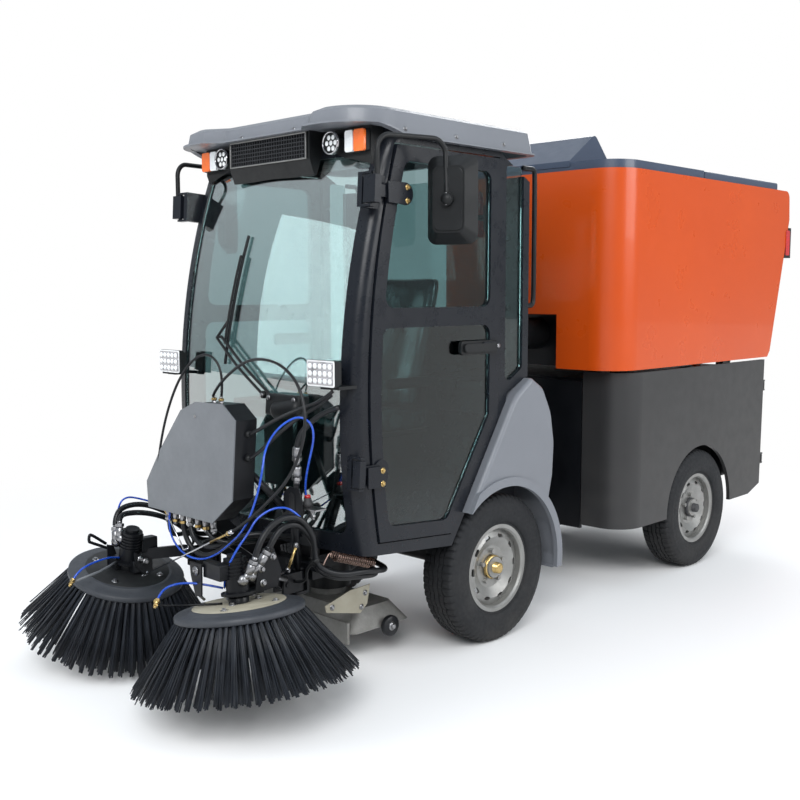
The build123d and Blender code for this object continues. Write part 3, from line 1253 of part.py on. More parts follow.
# ---------------------------------------------------------------- hopper
hopper_corner_radius = 170.0
lid_split_x = rear_x(36)
lid_rear_x = rear_x(-860)
header_depth = 110.0
hopper_tail_x = rear_x(-1008)
tail_knee = (rear_x(-800), 1165.0)
tail_top_z = 1950.0
HOPPER_OUTLINE = (          # X, Z of the side, from the front bottom round the rear
    (hopper_front_x, hopper_bottom_z),
    (rear_x(-770), hopper_bottom_z),
    tail_knee,
    (hopper_tail_x, tail_top_z),
    (hopper_tail_x + 13, hopper_top_z),
    (hopper_front_x, hopper_top_z),
)
tip_lug_x = rear_x(-390)
tip_lug_z = 1080.0
tip_lug_width = 16.0
tip_eye_width = 34.0
tip_eye_radius = 26.0
gate_hinge_x = rear_x(-960)
gate_hinge_z = 2066.0
gate_pin_radius = 9.0
gate_knuckle_radius = 20.0
gate_hinge_y = 420.0
with BuildPart() as hopper:
    with BuildSketch(long_plane(hopper_half_width)):
        Polygon(*HOPPER_OUTLINE, align=None)
    extrude(amount=2 * hopper_half_width)
    fillet(hopper.edges().filter_by(Axis.Z).group_by(Axis.X)[-1], hopper_corner_radius)
    rear_top = hopper.edges().filter_by(Axis.Y).group_by(Axis.Z)[-1].sort_by(Axis.X)[0]
    fillet(rear_top, 45)
    # cavity, open at the top and the rear
    with BuildSketch(Plane.XY.offset(hopper_bottom_z + hopper_wall)) as cavity:
        with Locations(((hopper_front_x - hopper_wall + hopper_tail_x - 50) / 2, 0)):
            Rectangle(hopper_front_x - hopper_wall - hopper_tail_x + 50, 2 * (hopper_half_width - hopper_wall))
        fillet(cavity.vertices().group_by(Axis.X)[-1], hopper_corner_radius - hopper_wall)
    extrude(amount=1200, mode=Mode.SUBTRACT)
    # walls of the recess for the suction riser, open at the front, below and behind
    with Locations((hopper_front_x - 2, 0, hopper_bottom_z)):
        Box(recess_depth - 2, 2 * (recess_half + hopper_wall), recess_top_z + hopper_wall - hopper_bottom_z,
            align=(Align.MAX, Align.CENTER, Align.MIN))
    with Locations((hopper_front_x + 1, 0, hopper_bottom_z - 1)):
        Box(recess_depth + hopper_wall + 4, 2 * recess_half, recess_top_z - hopper_bottom_z + 1,
            align=(Align.MAX, Align.CENTER, Align.MIN), mode=Mode.SUBTRACT)
    with Locations((inlet_x, 0, hopper_bottom_z - 1)):
        Box(hopper_wall + 3, 2 * (recess_half + hopper_wall + seat_gap), hopper_wall + 2,
            align=(Align.MAX, Align.CENTER, Align.MIN), mode=Mode.SUBTRACT)
    # header across the rear, behind the lid
    with Locations((lid_rear_x - seat_gap, 0, hopper_top_z)):
        Box(header_depth, 2 * hopper_half_width - 20, 26, align=(Align.MAX, Align.CENTER, Align.MAX))
    for name, side in SIDES:
        # lugs of the tipping hinge and of the cylinders
        for x, z, radius, width, y in (
            (hopper_pivot_x, hopper_pivot_z, hopper_lug_radius, frame_lug_width - 2 * seat_gap, hopper_lug_y),
            (tip_lug_x, tip_lug_z, tip_eye_radius, tip_lug_width,
             tip_y + (tip_eye_width + tip_lug_width) / 2 + 2 * seat_gap),
        ):
            with BuildSketch(long_plane(side * y)):
                with Locations((x, z)):
                    Circle(radius)
                with Locations((x, (z + hopper_bottom_z + 4) / 2)):
                    Rectangle(2 * radius, hopper_bottom_z + 4 - z)
            extrude(amount=width / 2, both=True)
        with Locations(Plane(origin=(hopper_pivot_x, side * hopper_lug_y, hopper_pivot_z), z_dir=(0, 1, 0))):
            Cylinder(hopper_pin_radius + pin_gap, 60, mode=Mode.SUBTRACT)
        # lugs and pins of the tailgate under the header
        for end in (-1, 1):
            with Locations((gate_hinge_x, side * gate_hinge_y + end * 34, gate_hinge_z)):
                Box(36, 12, hopper_top_z - 10 - gate_hinge_z, align=(Align.CENTER, Align.CENTER, Align.MIN))
            with Locations(Plane(origin=(gate_hinge_x, side * gate_hinge_y + end * 34, gate_hinge_z),
                                 z_dir=(0, 1, 0))):
                Cylinder(18, 12)
        with Locations(Plane(origin=(gate_hinge_x, side * gate_hinge_y, gate_hinge_z), z_dir=(0, 1, 0))):
            Cylinder(gate_pin_radius, 80)
finish(hopper, "hopper")

with BuildPart() as inlet_plate:
    with Locations((inlet_x - seat_gap, 0, hopper_bottom_z)):
        Box(hopper_wall, 2 * (recess_half + hopper_wall), recess_top_z + hopper_wall - hopper_bottom_z,
            align=(Align.MAX, Align.CENTER, Align.MIN))
    with Locations(Plane(origin=(inlet_x, 0, inlet_z), z_dir=(-1, 0, 0))):
        Cylinder(inlet_radius, 60, align=(Align.CENTER, Align.CENTER, Align.MIN), mode=Mode.SUBTRACT)
finish(inlet_plate, "inlet_plate")

lid_low_z = hopper_top_z + seat_gap
lid_thickness = 42.0
lid_half = hopper_half_width - 14
lid_front_x = hopper_front_x - 12
lid_radius = hopper_corner_radius - 10
hatch_gap = 8.0
hatch_hinge_x = lid_split_x - 6
hatch_pin_radius = 8.0
hatch_hinge_y = 400.0
hatch_knuckle_radius = 15.0
hatch_hinge_z = lid_low_z + lid_thickness + hatch_knuckle_radius + 4
hood_half = 300.0
HOOD_OUTLINE = (            # X, Z
    (hopper_front_x - 6, lid_low_z + 20), (hopper_front_x - 6, lid_low_z + lid_thickness + 6),
    (hopper_front_x - 226, 2318.0), (hopper_front_x - 384, lid_low_z + lid_thickness),
    (hopper_front_x - 384, lid_low_z + 20),
)
with BuildPart() as hopper_lid:
    with BuildSketch(Plane.XY.offset(lid_low_z)) as lid_plan:
        with Locations(((lid_front_x + lid_split_x) / 2, 0)):
            Rectangle(lid_front_x - lid_split_x, 2 * lid_half)
        fillet(lid_plan.vertices().group_by(Axis.X)[-1], lid_radius)
    extrude(amount=lid_thickness)
    with BuildSketch(long_plane(hood_half)) as hood:
        Polygon(*HOOD_OUTLINE, align=None)
        fillet(hood.vertices().sort_by(Axis.Y)[-1], 32)
    extrude(amount=2 * hood_half)
    # hinge lugs and pins of the hatch
    for name, side in SIDES:
        for end in (-1, 1):
            with Locations((lid_split_x + 16, side * hatch_hinge_y + end * 34, lid_low_z + lid_thickness - 2)):
                Box(22 + hatch_knuckle_radius, 12, hatch_knuckle_radius + 12,
                    align=(Align.CENTER, Align.CENTER, Align.MIN))
            with Locations(Plane(origin=(hatch_hinge_x, side * hatch_hinge_y + end * 34, hatch_hinge_z),
                                 z_dir=(0, 1, 0))):
                Cylinder(hatch_knuckle_radius, 12)
        with Locations(Plane(origin=(hatch_hinge_x, side * hatch_hinge_y, hatch_hinge_z), z_dir=(0, 1, 0))):
            Cylinder(hatch_pin_radius, 80)
finish(hopper_lid, "hopper_lid")

with BuildPart() as hopper_hatch:
    hatch_front = lid_split_x - hatch_gap
    with Locations(((hatch_front + lid_rear_x + 4) / 2, 0, lid_low_z)):
        Box(hatch_front - lid_rear_x - 4, 2 * lid_half, lid_thickness, align=(Align.CENTER, Align.CENTER, Align.MIN))
    fillet(hopper_hatch.faces().sort_by(Axis.Z)[-1].edges().filter_by(Axis.X), 12)
    for name, side in SIDES:
        with Locations((hatch_hinge_x - 20, side * hatch_hinge_y, lid_low_z + lid_thickness - 2)):
            Box(40, 54, hatch_knuckle_radius + 12, align=(Align.CENTER, Align.CENTER, Align.MIN))
        with Locations(Plane(origin=(hatch_hinge_x, side * hatch_hinge_y, hatch_hinge_z), z_dir=(0, 1, 0))):
            Cylinder(hatch_knuckle_radius, 54)
            Cylinder(hatch_pin_radius + pin_gap, 100, mode=Mode.SUBTRACT)
finish(hopper_hatch, "hopper_hatch")

gate_half = hopper_half_width - hopper_wall - swing_gap
gate_inset = 20.0
gate_thickness = 30.0
slant_dx = hopper_tail_x - tail_knee[0]
slant_dz = tail_top_z - tail_knee[1]
slant_length = hypot(slant_dx, slant_dz)
slant_nx = slant_dz / slant_length
slant_nz = -slant_dx / slant_length


def slant_point(along, depth):
    """Place on the slanted rear line of the hopper's side, moved forwards by the depth."""
    share = along / slant_length
    return (tail_knee[0] + slant_dx * share + slant_nx * depth, tail_knee[1] + slant_dz * share + slant_nz * depth)


with BuildPart() as tailgate:
    with BuildSketch(long_plane(gate_half)):
        Polygon(slant_point(-4, gate_inset), slant_point(slant_length, gate_inset),
                (slant_point(slant_length, gate_inset)[0], gate_hinge_z - 22),
                (slant_point(slant_length, gate_inset)[0] + gate_thickness, gate_hinge_z - 22),
                slant_point(slant_length, gate_inset + gate_thickness), slant_point(-4, gate_inset + gate_thickness),
                align=None)
    extrude(amount=2 * gate_half)
    for name, side in SIDES:
        with Locations((gate_hinge_x, side * gate_hinge_y, gate_hinge_z)):
            Box(30, 54, 60, align=(Align.CENTER, Align.CENTER, Align.MAX))
        with Locations(Plane(origin=(gate_hinge_x, side * gate_hinge_y, gate_hinge_z), z_dir=(0, 1, 0))):
            Cylinder(gate_knuckle_radius, 54)
            Cylinder(gate_pin_radius + pin_gap, 100, mode=Mode.SUBTRACT)
finish(tailgate, "tailgate")

with BuildPart() as rear_lamps:
    for name, side in SIDES:
        with Locations((hopper_tail_x + 60, side * (hopper_half_width - hopper_wall / 2), 1810)):
            Box(60 + 24, 26, 180, align=(Align.MAX, Align.CENTER, Align.CENTER))
    with BuildSketch(long_plane(700)):
        Polygon(*HOPPER_OUTLINE, align=None)
        offset(amount=seat_gap, kind=Kind.INTERSECTION)
    extrude(amount=1400, mode=Mode.SUBTRACT)
finish(rear_lamps, "rear_lamps")

# ---------------------------------------------------------------- tipping cylinders
tip_base = Vector(tip_base_x, 0, tip_base_z)
tip_eye = Vector(tip_lug_x, 0, tip_lug_z)
tip_dir = (tip_eye - tip_base).normalized()
tip_length = (tip_eye - tip_base).length
tip_barrel_end = 590.0
tip_rod_radius = 16.0
tip_rod_start = 330.0
with BuildPart() as tip_barrels:
    for name, side in SIDES:
        base = Vector(tip_base_x, side * tip_y, tip_base_z)
        with Locations(Plane(origin=base, z_dir=tip_dir)):
            Cylinder(tip_barrel_radius, tip_barrel_end, align=(Align.CENTER, Align.CENTER, Align.MIN))
        with Locations(Plane(origin=base, z_dir=(0, 1, 0))):
            Cylinder(tip_barrel_radius, 36)
            Cylinder(tip_pin_radius + pin_gap, 100, mode=Mode.SUBTRACT)
        with Locations(Plane(origin=base + tip_dir * 40, z_dir=tip_dir)):
            Cylinder(tip_rod_radius + pin_gap, 700, align=(Align.CENTER, Align.CENTER, Align.MIN), mode=Mode.SUBTRACT)
finish(tip_barrels, "tip_barrels")

with BuildPart() as tip_rods:
    for name, side in SIDES:
        base = Vector(tip_base_x, side * tip_y, tip_base_z)
        with Locations(Plane(origin=base + tip_dir * tip_rod_start, z_dir=tip_dir)):
            Cylinder(tip_rod_radius, tip_length - tip_rod_start - 10, align=(Align.CENTER, Align.CENTER, Align.MIN))
        with Locations(Plane(origin=base + tip_dir * tip_length, z_dir=(0, 1, 0))):
            Cylinder(tip_eye_radius, tip_eye_width)
            Cylinder(tip_pin_radius, 100, mode=Mode.SUBTRACT)
finish(tip_rods, "tip_rods")
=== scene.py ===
"""Looks of the articulated street sweeper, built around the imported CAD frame.

Metres; +X forward, +Y left, +Z up.
"""
import json
import math
import random
import bmesh
import bpy
from mathutils import Matrix, Vector


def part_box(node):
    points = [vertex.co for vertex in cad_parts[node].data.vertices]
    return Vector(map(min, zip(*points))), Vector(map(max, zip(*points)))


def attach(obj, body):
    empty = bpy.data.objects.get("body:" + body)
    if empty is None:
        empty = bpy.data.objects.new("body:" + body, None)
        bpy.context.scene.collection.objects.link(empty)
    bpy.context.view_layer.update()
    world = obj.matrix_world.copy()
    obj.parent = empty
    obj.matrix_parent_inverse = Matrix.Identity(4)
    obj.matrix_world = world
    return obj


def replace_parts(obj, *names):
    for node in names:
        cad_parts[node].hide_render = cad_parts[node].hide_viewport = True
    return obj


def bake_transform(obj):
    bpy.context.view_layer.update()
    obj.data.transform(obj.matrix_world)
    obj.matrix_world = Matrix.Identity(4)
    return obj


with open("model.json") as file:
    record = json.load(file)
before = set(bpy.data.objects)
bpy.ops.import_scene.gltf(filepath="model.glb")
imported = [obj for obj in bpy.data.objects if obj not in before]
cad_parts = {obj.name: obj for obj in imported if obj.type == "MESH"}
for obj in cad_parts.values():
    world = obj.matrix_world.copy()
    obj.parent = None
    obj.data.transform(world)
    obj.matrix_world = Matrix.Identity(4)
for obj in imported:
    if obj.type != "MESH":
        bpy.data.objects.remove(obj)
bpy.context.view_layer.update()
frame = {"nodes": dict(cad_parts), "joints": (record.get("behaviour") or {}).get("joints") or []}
TAU = 2 * math.pi
JOINTS = {joint["name"]: joint for joint in frame["joints"]}
SIDES = (("left", 1), ("right", -1))
FRONT_X = Vector(JOINTS["wheel_front_left_spin"]["pos_m"]).x       # front axle


def front(offset):
    """X of a place on the front unit, from its distance ahead of the front axle."""
    return FRONT_X + offset


def ahead(x, y, z):
    """Place from its distance ahead of the front axle."""
    return Vector((front(x), y, z))


def route(*places):
    """Places of a hose or an outline, each from its distance ahead of the front axle."""
    return [ahead(*place) for place in places]


def facing(x, *outline):
    """Places of an outline that faces forward, each from its y and z, at one distance ahead."""
    return [ahead(x, y, z) for y, z in outline]


def sideways(y, *outline):
    """Places of an outline that faces sideways, each from its distance ahead and its z."""
    return [ahead(x, y, z) for x, z in outline]


def link(obj):
    """Put a new object in the scene and hand it back."""
    bpy.context.collection.objects.link(obj)
    return obj


# ---------------------------------------------------------------- shader nodes
WHITE = (1, 1, 1, 1)


def add_node(tree, kind, inputs=None, **settings):
    """New shader node of a kind, with its settings and the values of its inputs."""
    node = tree.nodes.new("ShaderNode" + kind)
    for setting, value in settings.items():
        setattr(node, setting, value)
    for socket, value in (inputs or {}).items():
        node.inputs[socket].default_value = value
    return node


def join(tree, *links):
    """Links, each from a node's output to a node's input."""
    for source, output, target, socket in links:
        tree.links.new(source.outputs[output], target.inputs[socket])


# ---------------------------------------------------------------- camera, floor and light
SKY_LOW, SKY_HIGH = 0.25, 0.85      # strength of the sky below the horizon and overhead
SKY_COLOUR = (0.86, 0.93, 1.0, 1)
CAMERA_PLACE = (3.4427, 3.3415, 1.5252)     # ahead of the front axle
CAMERA_YAW, CAMERA_PITCH, CAMERA_ROLL = 3.9143, -0.1054, 0.0013
SENSOR, LENS = 36, 46.48            # mm
FLOOR_REACH = 40
FLOOR_COLOUR = (0.86, 0.86, 0.86, 1)
FADE_START, FADE_END = 1.6, 4.6     # distances from the origin between which the floor turns to plain white


def aim(obj, place, forward, roll=0.0):
    """Put an object at a place, looking along forward, level apart from the roll."""
    forward = Vector(forward).normalized()
    right = forward.cross(Vector((0, 0, 1))).normalized()
    up = right.cross(forward)
    turn = Matrix.Rotation(roll, 3, forward)
    right, up = turn @ right, turn @ up
    obj.matrix_world = Matrix.Translation(place) @ Matrix((right, up, -forward)).transposed().to_4x4()


def make_camera():
    data = bpy.data.cameras.new("camera")
    data.sensor_width = SENSOR
    data.lens = LENS
    cam = link(bpy.data.objects.new("camera", data))
    level = math.cos(CAMERA_PITCH)
    forward = (math.cos(CAMERA_YAW) * level, math.sin(CAMERA_YAW) * level, math.sin(CAMERA_PITCH))
    aim(cam, ahead(*CAMERA_PLACE), forward, CAMERA_ROLL)
    bpy.context.scene.camera = cam


def make_lights():
    lamps = (               # name, place, aim point, width, height, watts
        ("key", (6.0, 4.5, 5.5), (0.2, 0, 0.9), 4.0, 4.0, 420),
        ("front_fill", (5.5, -2.5, 2.6), (0.6, 0, 1.0), 3.5, 3.0, 130),
        ("side_fill", (-2.0, 6.5, 3.5), (-0.8, 0, 1.0), 4.5, 3.0, 230),
        ("rear_rim", (-6.0, -3.0, 4.5), (-0.5, 0, 1.2), 4.0, 3.0, 200),
    )
    for name, place, target, width, height, watts in lamps:
        data = bpy.data.lights.new(name, "AREA")
        data.shape = "RECTANGLE"
        data.size, data.size_y, data.energy = width, height, watts
        lamp = link(bpy.data.objects.new(name, data))
        lamp.visible_glossy = name != "front_fill"     # it would show as a white square in the screen
        aim(lamp, Vector(place), Vector(target) - Vector(place))


def make_world():
    """White seen straight or through glass; reflections and light come from a sky that is dark low down."""
    world = bpy.data.worlds.new("studio")
    bpy.context.scene.world = world
    world.use_nodes = True
    tree = world.node_tree
    tree.nodes.clear()
    path = add_node(tree, "LightPath")
    seen = add_node(tree, "Math", operation="MAXIMUM")
    where = add_node(tree, "TexCoord")
    split = add_node(tree, "SeparateXYZ")
    height = add_node(tree, "MapRange", {"From Min": -0.1, "From Max": 0.7, "To Min": SKY_LOW,
                                         "To Max": SKY_HIGH})
    light = add_node(tree, "Background", {"Color": SKY_COLOUR})
    white = add_node(tree, "Background", {"Color": WHITE})
    mix = add_node(tree, "MixShader")
    out = add_node(tree, "OutputWorld")
    join(tree, (where, "Generated", split, 0), (split, "Z", height, "Value"),
         (height, "Result", light, "Strength"), (path, "Is Camera Ray", seen, 0),
         (path, "Is Transmission Ray", seen, 1), (seen, 0, mix, "Fac"), (light, 0, mix, 1),
         (white, 0, mix, 2), (mix, 0, out, "Surface"))


def make_floor():
    """Pale floor that runs out to plain white away from the object."""
    mesh = bpy.data.meshes.new("floor")
    corners = [(x * FLOOR_REACH, y * FLOOR_REACH, 0) for x, y in ((-1, -1), (1, -1), (1, 1), (-1, 1))]
    mesh.from_pydata(corners, [], [(0, 1, 2, 3)])
    floor = link(bpy.data.objects.new("floor", mesh))
    mat = bpy.data.materials.new("floor")
    mat.use_nodes = True
    tree = mat.node_tree
    tree.nodes.clear()
    where = add_node(tree, "TexCoord")
    length = add_node(tree, "VectorMath", operation="LENGTH")
    far = add_node(tree, "MapRange", {"From Min": FADE_START, "From Max": FADE_END},
                   interpolation_type="SMOOTHSTEP")
    paper = add_node(tree, "BsdfDiffuse", {"Color": FLOOR_COLOUR})
    white = add_node(tree, "Emission", {"Color": WHITE})
    path = add_node(tree, "LightPath")
    seen = add_node(tree, "Math", operation="MAXIMUM")
    through = add_node(tree, "Math", operation="MAXIMUM")
    gate = add_node(tree, "Math", operation="MULTIPLY")
    mix = add_node(tree, "MixShader")
    out = add_node(tree, "OutputMaterial")
    join(tree, (where, "Object", length, 0), (length, "Value", far, "Value"),
         (path, "Is Camera Ray", seen, 0), (path, "Is Transmission Ray", seen, 1), (seen, 0, through, 0),
         (path, "Is Glossy Ray", through, 1),
         (far, "Result", gate, 0), (through, 0, gate, 1), (gate, 0, mix, "Fac"), (paper, 0, mix, 1),
         (white, 0, mix, 2), (mix, 0, out, "Surface"))
    mesh.materials.append(mat)


make_camera()
make_lights()
make_world()
make_floor()
bpy.context.scene.view_settings.view_transform = "Standard"


# ---------------------------------------------------------------- materials
DUST_COLOUR = (0.23, 0.21, 0.185)
DUST_BASE = 0.05            # height below which the dust is full
DUST_PATCHES = 9.0          # scale of its patches
BUMP_DEPTH = 0.001


def surface(name, base, other, mottle, rough, metallic=0.0, coat=0.0, grain=0.0, grain_scale=400.0, dust=0.0,
            dust_height=0.9, stretch=(1, 1, 1), **sockets):
    """Procedural material: two colours mottled by noise, roughness and bump from noise, and dust low down."""
    mat = bpy.data.materials.new(name)
    mat.use_nodes = True
    tree = mat.node_tree
    shader = tree.nodes["Principled BSDF"]
    shader.inputs["Metallic"].default_value = metallic
    shader.inputs["Coat Weight"].default_value = coat
    for socket, value in sockets.items():
        shader.inputs[socket.replace("_", " ")].default_value = value
    where = add_node(tree, "TexCoord")
    scaled = add_node(tree, "Mapping", {"Scale": stretch})
    join(tree, (where, "Object", scaled, "Vector"))

    def noise(scale, detail=4.0):
        node = add_node(tree, "TexNoise", {"Scale": scale, "Detail": detail})
        join(tree, (scaled, "Vector", node, "Vector"))
        return node.outputs["Fac"]

    def ranged(source, low, high, start=0.3, end=0.7):
        node = add_node(tree, "MapRange", {"From Min": start, "From Max": end, "To Min": low, "To Max": high})
        tree.links.new(source, node.inputs["Value"])
        return node.outputs["Result"]

    def mixed(fac, first, second):
        node = add_node(tree, "Mix", data_type="RGBA")
        tree.links.new(fac, node.inputs["Factor"])
        for socket, value in ((node.inputs[6], first), (node.inputs[7], second)):
            if isinstance(value, tuple):
                socket.default_value = (*value, 1)
            else:
                tree.links.new(value, socket)
        return node.outputs[2]

    colour = mixed(ranged(noise(mottle), 0, 1), base, other)
    roughness = ranged(noise(mottle * 5), *rough)
    if dust:
        height = add_node(tree, "SeparateXYZ")
        join(tree, (where, "Object", height, 0))
        low_down = ranged(height.outputs["Z"], dust, 0.0, DUST_BASE, dust_height)
        patchy = add_node(tree, "Math", operation="MULTIPLY")
        tree.links.new(low_down, patchy.inputs[0])
        tree.links.new(ranged(noise(DUST_PATCHES, 8.0), 0.2, 1.0, 0.35, 0.65), patchy.inputs[1])
        colour = mixed(patchy.outputs[0], colour, DUST_COLOUR)
        rougher = add_node(tree, "Math", operation="ADD", use_clamp=True)
        tree.links.new(roughness, rougher.inputs[0])
        join(tree, (patchy, 0, rougher, 1))
        roughness = rougher.outputs[0]
    tree.links.new(colour, shader.inputs["Base Color"])
    tree.links.new(roughness, shader.inputs["Roughness"])
    if grain:
        bump = add_node(tree, "Bump", {"Strength": grain, "Distance": BUMP_DEPTH})
        tree.links.new(noise(grain_scale, 3.0), bump.inputs["Height"])
        join(tree, (bump, "Normal", shader, "Normal"))
    return mat


def glass_surface(name, tint, coat=0.0, coat_ior=1.5):
    """Tinted glass whose shadow lets light through, with a reflecting layer as strong as its coat."""
    mat = surface(name, tint, tuple(channel * 0.97 for channel in tint), 0.6, (0.005, 0.0075), coat=coat,
                  Transmission_Weight=1.0, IOR=1.45, Coat_IOR=coat_ior, Coat_Roughness=0.0)
    tree = mat.node_tree
    path = add_node(tree, "LightPath")
    clear = add_node(tree, "BsdfTransparent", {"Color": (*tint, 1)})
    mix = add_node(tree, "MixShader")
    join(tree, (path, "Is Shadow Ray", mix, "Fac"), (tree.nodes["Principled BSDF"], 0, mix, 1),
         (clear, 0, mix, 2), (mix, 0, tree.nodes["Material Output"], "Surface"))
    return mat


def glow_surface(name, tint):
    """Clear moulded lens with fine ribs."""
    return surface(name, tint, tuple(min(1, channel * 1.1) for channel in tint), 60, (0.05, 0.15),
                   coat=0.6, grain=0.4, grain_scale=220, Specular_IOR_Level=0.8)


# each with its name, two colours, scale of the mottling and range of roughness, then the rest by name
ORANGE = surface("orange_paint", (0.53, 0.066, 0.004), (0.50, 0.060, 0.004), 1.5, (0.26, 0.34),
                 coat=0.15, grain=0.03, grain_scale=260, Specular_IOR_Level=0.35)
BODY_GREY = surface("body_grey", (0.030, 0.030, 0.031), (0.025, 0.025, 0.026), 3, (0.34, 0.44),
                    coat=0.05, grain=0.08, grain_scale=350, dust=0.06, Specular_IOR_Level=0.35)
FRAME_BLACK = surface("frame_black", (0.003, 0.0035, 0.005), (0.007, 0.008, 0.010), 7, (0.28, 0.44),
                      grain=0.1, grain_scale=300, dust=0.03, dust_height=0.5, Specular_IOR_Level=0.25)
CAB_BLACK = surface("cab_black", (0.0055, 0.007, 0.011), (0.009, 0.011, 0.015), 5, (0.24, 0.36),
                    grain=0.06, grain_scale=380, dust=0.01, Specular_IOR_Level=0.3)
ROOF_GREY = surface("roof_grey", (0.165, 0.176, 0.197), (0.150, 0.160, 0.180), 3, (0.34, 0.46), coat=0.1,
                    grain=0.2, grain_scale=500, dust=0.03, dust_height=1.2, Specular_IOR_Level=0.4)
PLASTIC = surface("black_plastic", (0.006, 0.007, 0.008), (0.011, 0.012, 0.013), 8, (0.4, 0.52),
                  grain=0.25, grain_scale=600, dust=0.02, Specular_IOR_Level=0.3)
SLATE = surface("lid_slate", (0.040, 0.056, 0.092), (0.046, 0.064, 0.104), 3, (0.3, 0.42), coat=0.2,
                grain=0.05)
VALVE_GREY = surface("valve_grey", (0.135, 0.145, 0.158), (0.115, 0.124, 0.136), 9, (0.38, 0.52),
                     grain=0.12, grain_scale=120, dust=0.04)
TYRE = surface("tyre_rubber", (0.009, 0.010, 0.012), (0.014, 0.015, 0.017), 14, (0.6, 0.78), grain=0.3,
               grain_scale=700, dust=0.08, dust_height=0.5, Specular_IOR_Level=0.3)
RIM = surface("rim_silver", (0.33, 0.33, 0.32), (0.27, 0.27, 0.26), 16, (0.3, 0.45), metallic=0.75,
              grain=0.1, grain_scale=300, dust=0.15, dust_height=0.6)
STEEL = surface("steel", (0.36, 0.36, 0.37), (0.28, 0.28, 0.29), 20, (0.25, 0.4), metallic=1.0, grain=0.08)
MESH_GREY = surface("mesh_grey", (0.05, 0.052, 0.056), (0.035, 0.036, 0.04), 30, (0.3, 0.45), metallic=0.6)
CHROME = surface("chrome", (0.62, 0.62, 0.64), (0.55, 0.55, 0.57), 12, (0.07, 0.16), metallic=1.0)
BRASS = surface("brass", (0.62, 0.45, 0.19), (0.5, 0.35, 0.14), 30, (0.22, 0.38), metallic=1.0, grain=0.06)
RUBBER = surface("rubber", (0.005, 0.0055, 0.007), (0.010, 0.011, 0.013), 12, (0.3, 0.45), grain=0.12,
                 Specular_IOR_Level=0.35)
WHITE_PAINT = surface("white_paint", (0.72, 0.73, 0.74), (0.66, 0.67, 0.68), 8, (0.25, 0.35), coat=0.3)
GLASS = glass_surface("cab_glass_tint", (0.40, 0.55, 0.55))
SCREEN_GLASS = glass_surface("windscreen_tint", (0.42, 0.60, 0.60), coat=1.0, coat_ior=3.0)
DOOR_GLASS = glass_surface("door_glass_tint", (0.22, 0.32, 0.33))
FABRIC = surface("seat_fabric", (0.03, 0.033, 0.038), (0.05, 0.055, 0.06), 90, (0.75, 0.9), grain=0.8,
                 grain_scale=900, Sheen_Weight=0.3)
BRISTLE = surface("bristle", (0.004, 0.0055, 0.009), (0.016, 0.020, 0.028), 25, (0.34, 0.5),
                  stretch=(1, 1, 0.15), dust=0.03, dust_height=0.08, Specular_IOR_Level=0.4)
SKIRT = surface("skirt_rubber", (0.028, 0.032, 0.039), (0.038, 0.042, 0.050), 10, (0.45, 0.6), grain=0.15)
LENS_CLEAR = glow_surface("lens_clear", (0.75, 0.77, 0.78))
LENS_ORANGE = glow_surface("lens_orange", (0.85, 0.16, 0.02))
LENS_RED = glow_surface("lens_red", (0.5, 0.01, 0.01))
BLUE_HOSE = surface("blue_hose", (0.006, 0.075, 0.50), (0.005, 0.05, 0.38), 10, (0.2, 0.32), coat=0.3)
EXTINGUISHER = surface("red_paint", (0.5, 0.02, 0.02), (0.42, 0.015, 0.015), 8, (0.2, 0.3), coat=0.5)
BEIGE = surface("beige_plate", (0.34, 0.32, 0.25), (0.27, 0.25, 0.19), 14, (0.4, 0.6), grain=0.2, dust=0.2)
CAST = surface("cast_iron", (0.045, 0.045, 0.048), (0.06, 0.06, 0.062), 12, (0.5, 0.7), metallic=0.4,
               grain=0.5, grain_scale=200)
MIRROR = surface("mirror_glass", (0.8, 0.82, 0.84), (0.78, 0.8, 0.82), 3, (0.01, 0.03), metallic=1.0)
COPPER = surface("copper", (0.62, 0.44, 0.37), (0.52, 0.36, 0.30), 40, (0.22, 0.36), metallic=1.0)
ZINC = surface("zinc_sheet", (0.26, 0.26, 0.25), (0.19, 0.19, 0.18), 22, (0.42, 0.6), metallic=0.55,
               dust=0.25, dust_height=0.35)
WRAP = surface("seat_wrap", (0.020, 0.026, 0.027), (0.075, 0.090, 0.090), 16, (0.10, 0.22), coat=1.0,
               grain=1.0, grain_scale=30, stretch=(1, 1, 0.35), Specular_IOR_Level=1.0)

NODES_BY_MATERIAL = (
    (FRAME_BLACK, "rear_frame bulkhead deck rear_axle front_frame front_axle valve_box inlet_plate"),
    (FRAME_BLACK, "tip_barrels"),
    (PLASTIC, "suction_riser suction_duct roof_console front_lamps rear_lamps dash steering_wheel"),
    (BODY_GREY, "rear_panel_left rear_panel_right engine_door"),
    (ROOF_GREY, "roof_cap fender_left fender_right"),
    (ORANGE, "hopper tailgate"), (SLATE, "hopper_lid hopper_hatch"), (CHROME, "tip_rods steer_rod"),
    (CAST, "engine"), (CAB_BLACK, "cab_shell"), (SCREEN_GLASS, "windscreen"), (GLASS, "cab_glass"),
    (MESH_GREY, "roof_grille"), (VALVE_GREY, "valve_plate"), (FABRIC, "seat"), (ZINC, "nozzle"),
)
PAIRS_BY_MATERIAL = (       # nodes of which each side has its own
    (TYRE, "tyre_front tyre_rear"), (RIM, "rim_front rim_rear"), (CAB_BLACK, "door"),
    (DOOR_GLASS, "door_glass"), (PLASTIC, "mirror"), (FRAME_BLACK, "broom_carrier broom_arm"),
    (BRISTLE, "broom"),
)


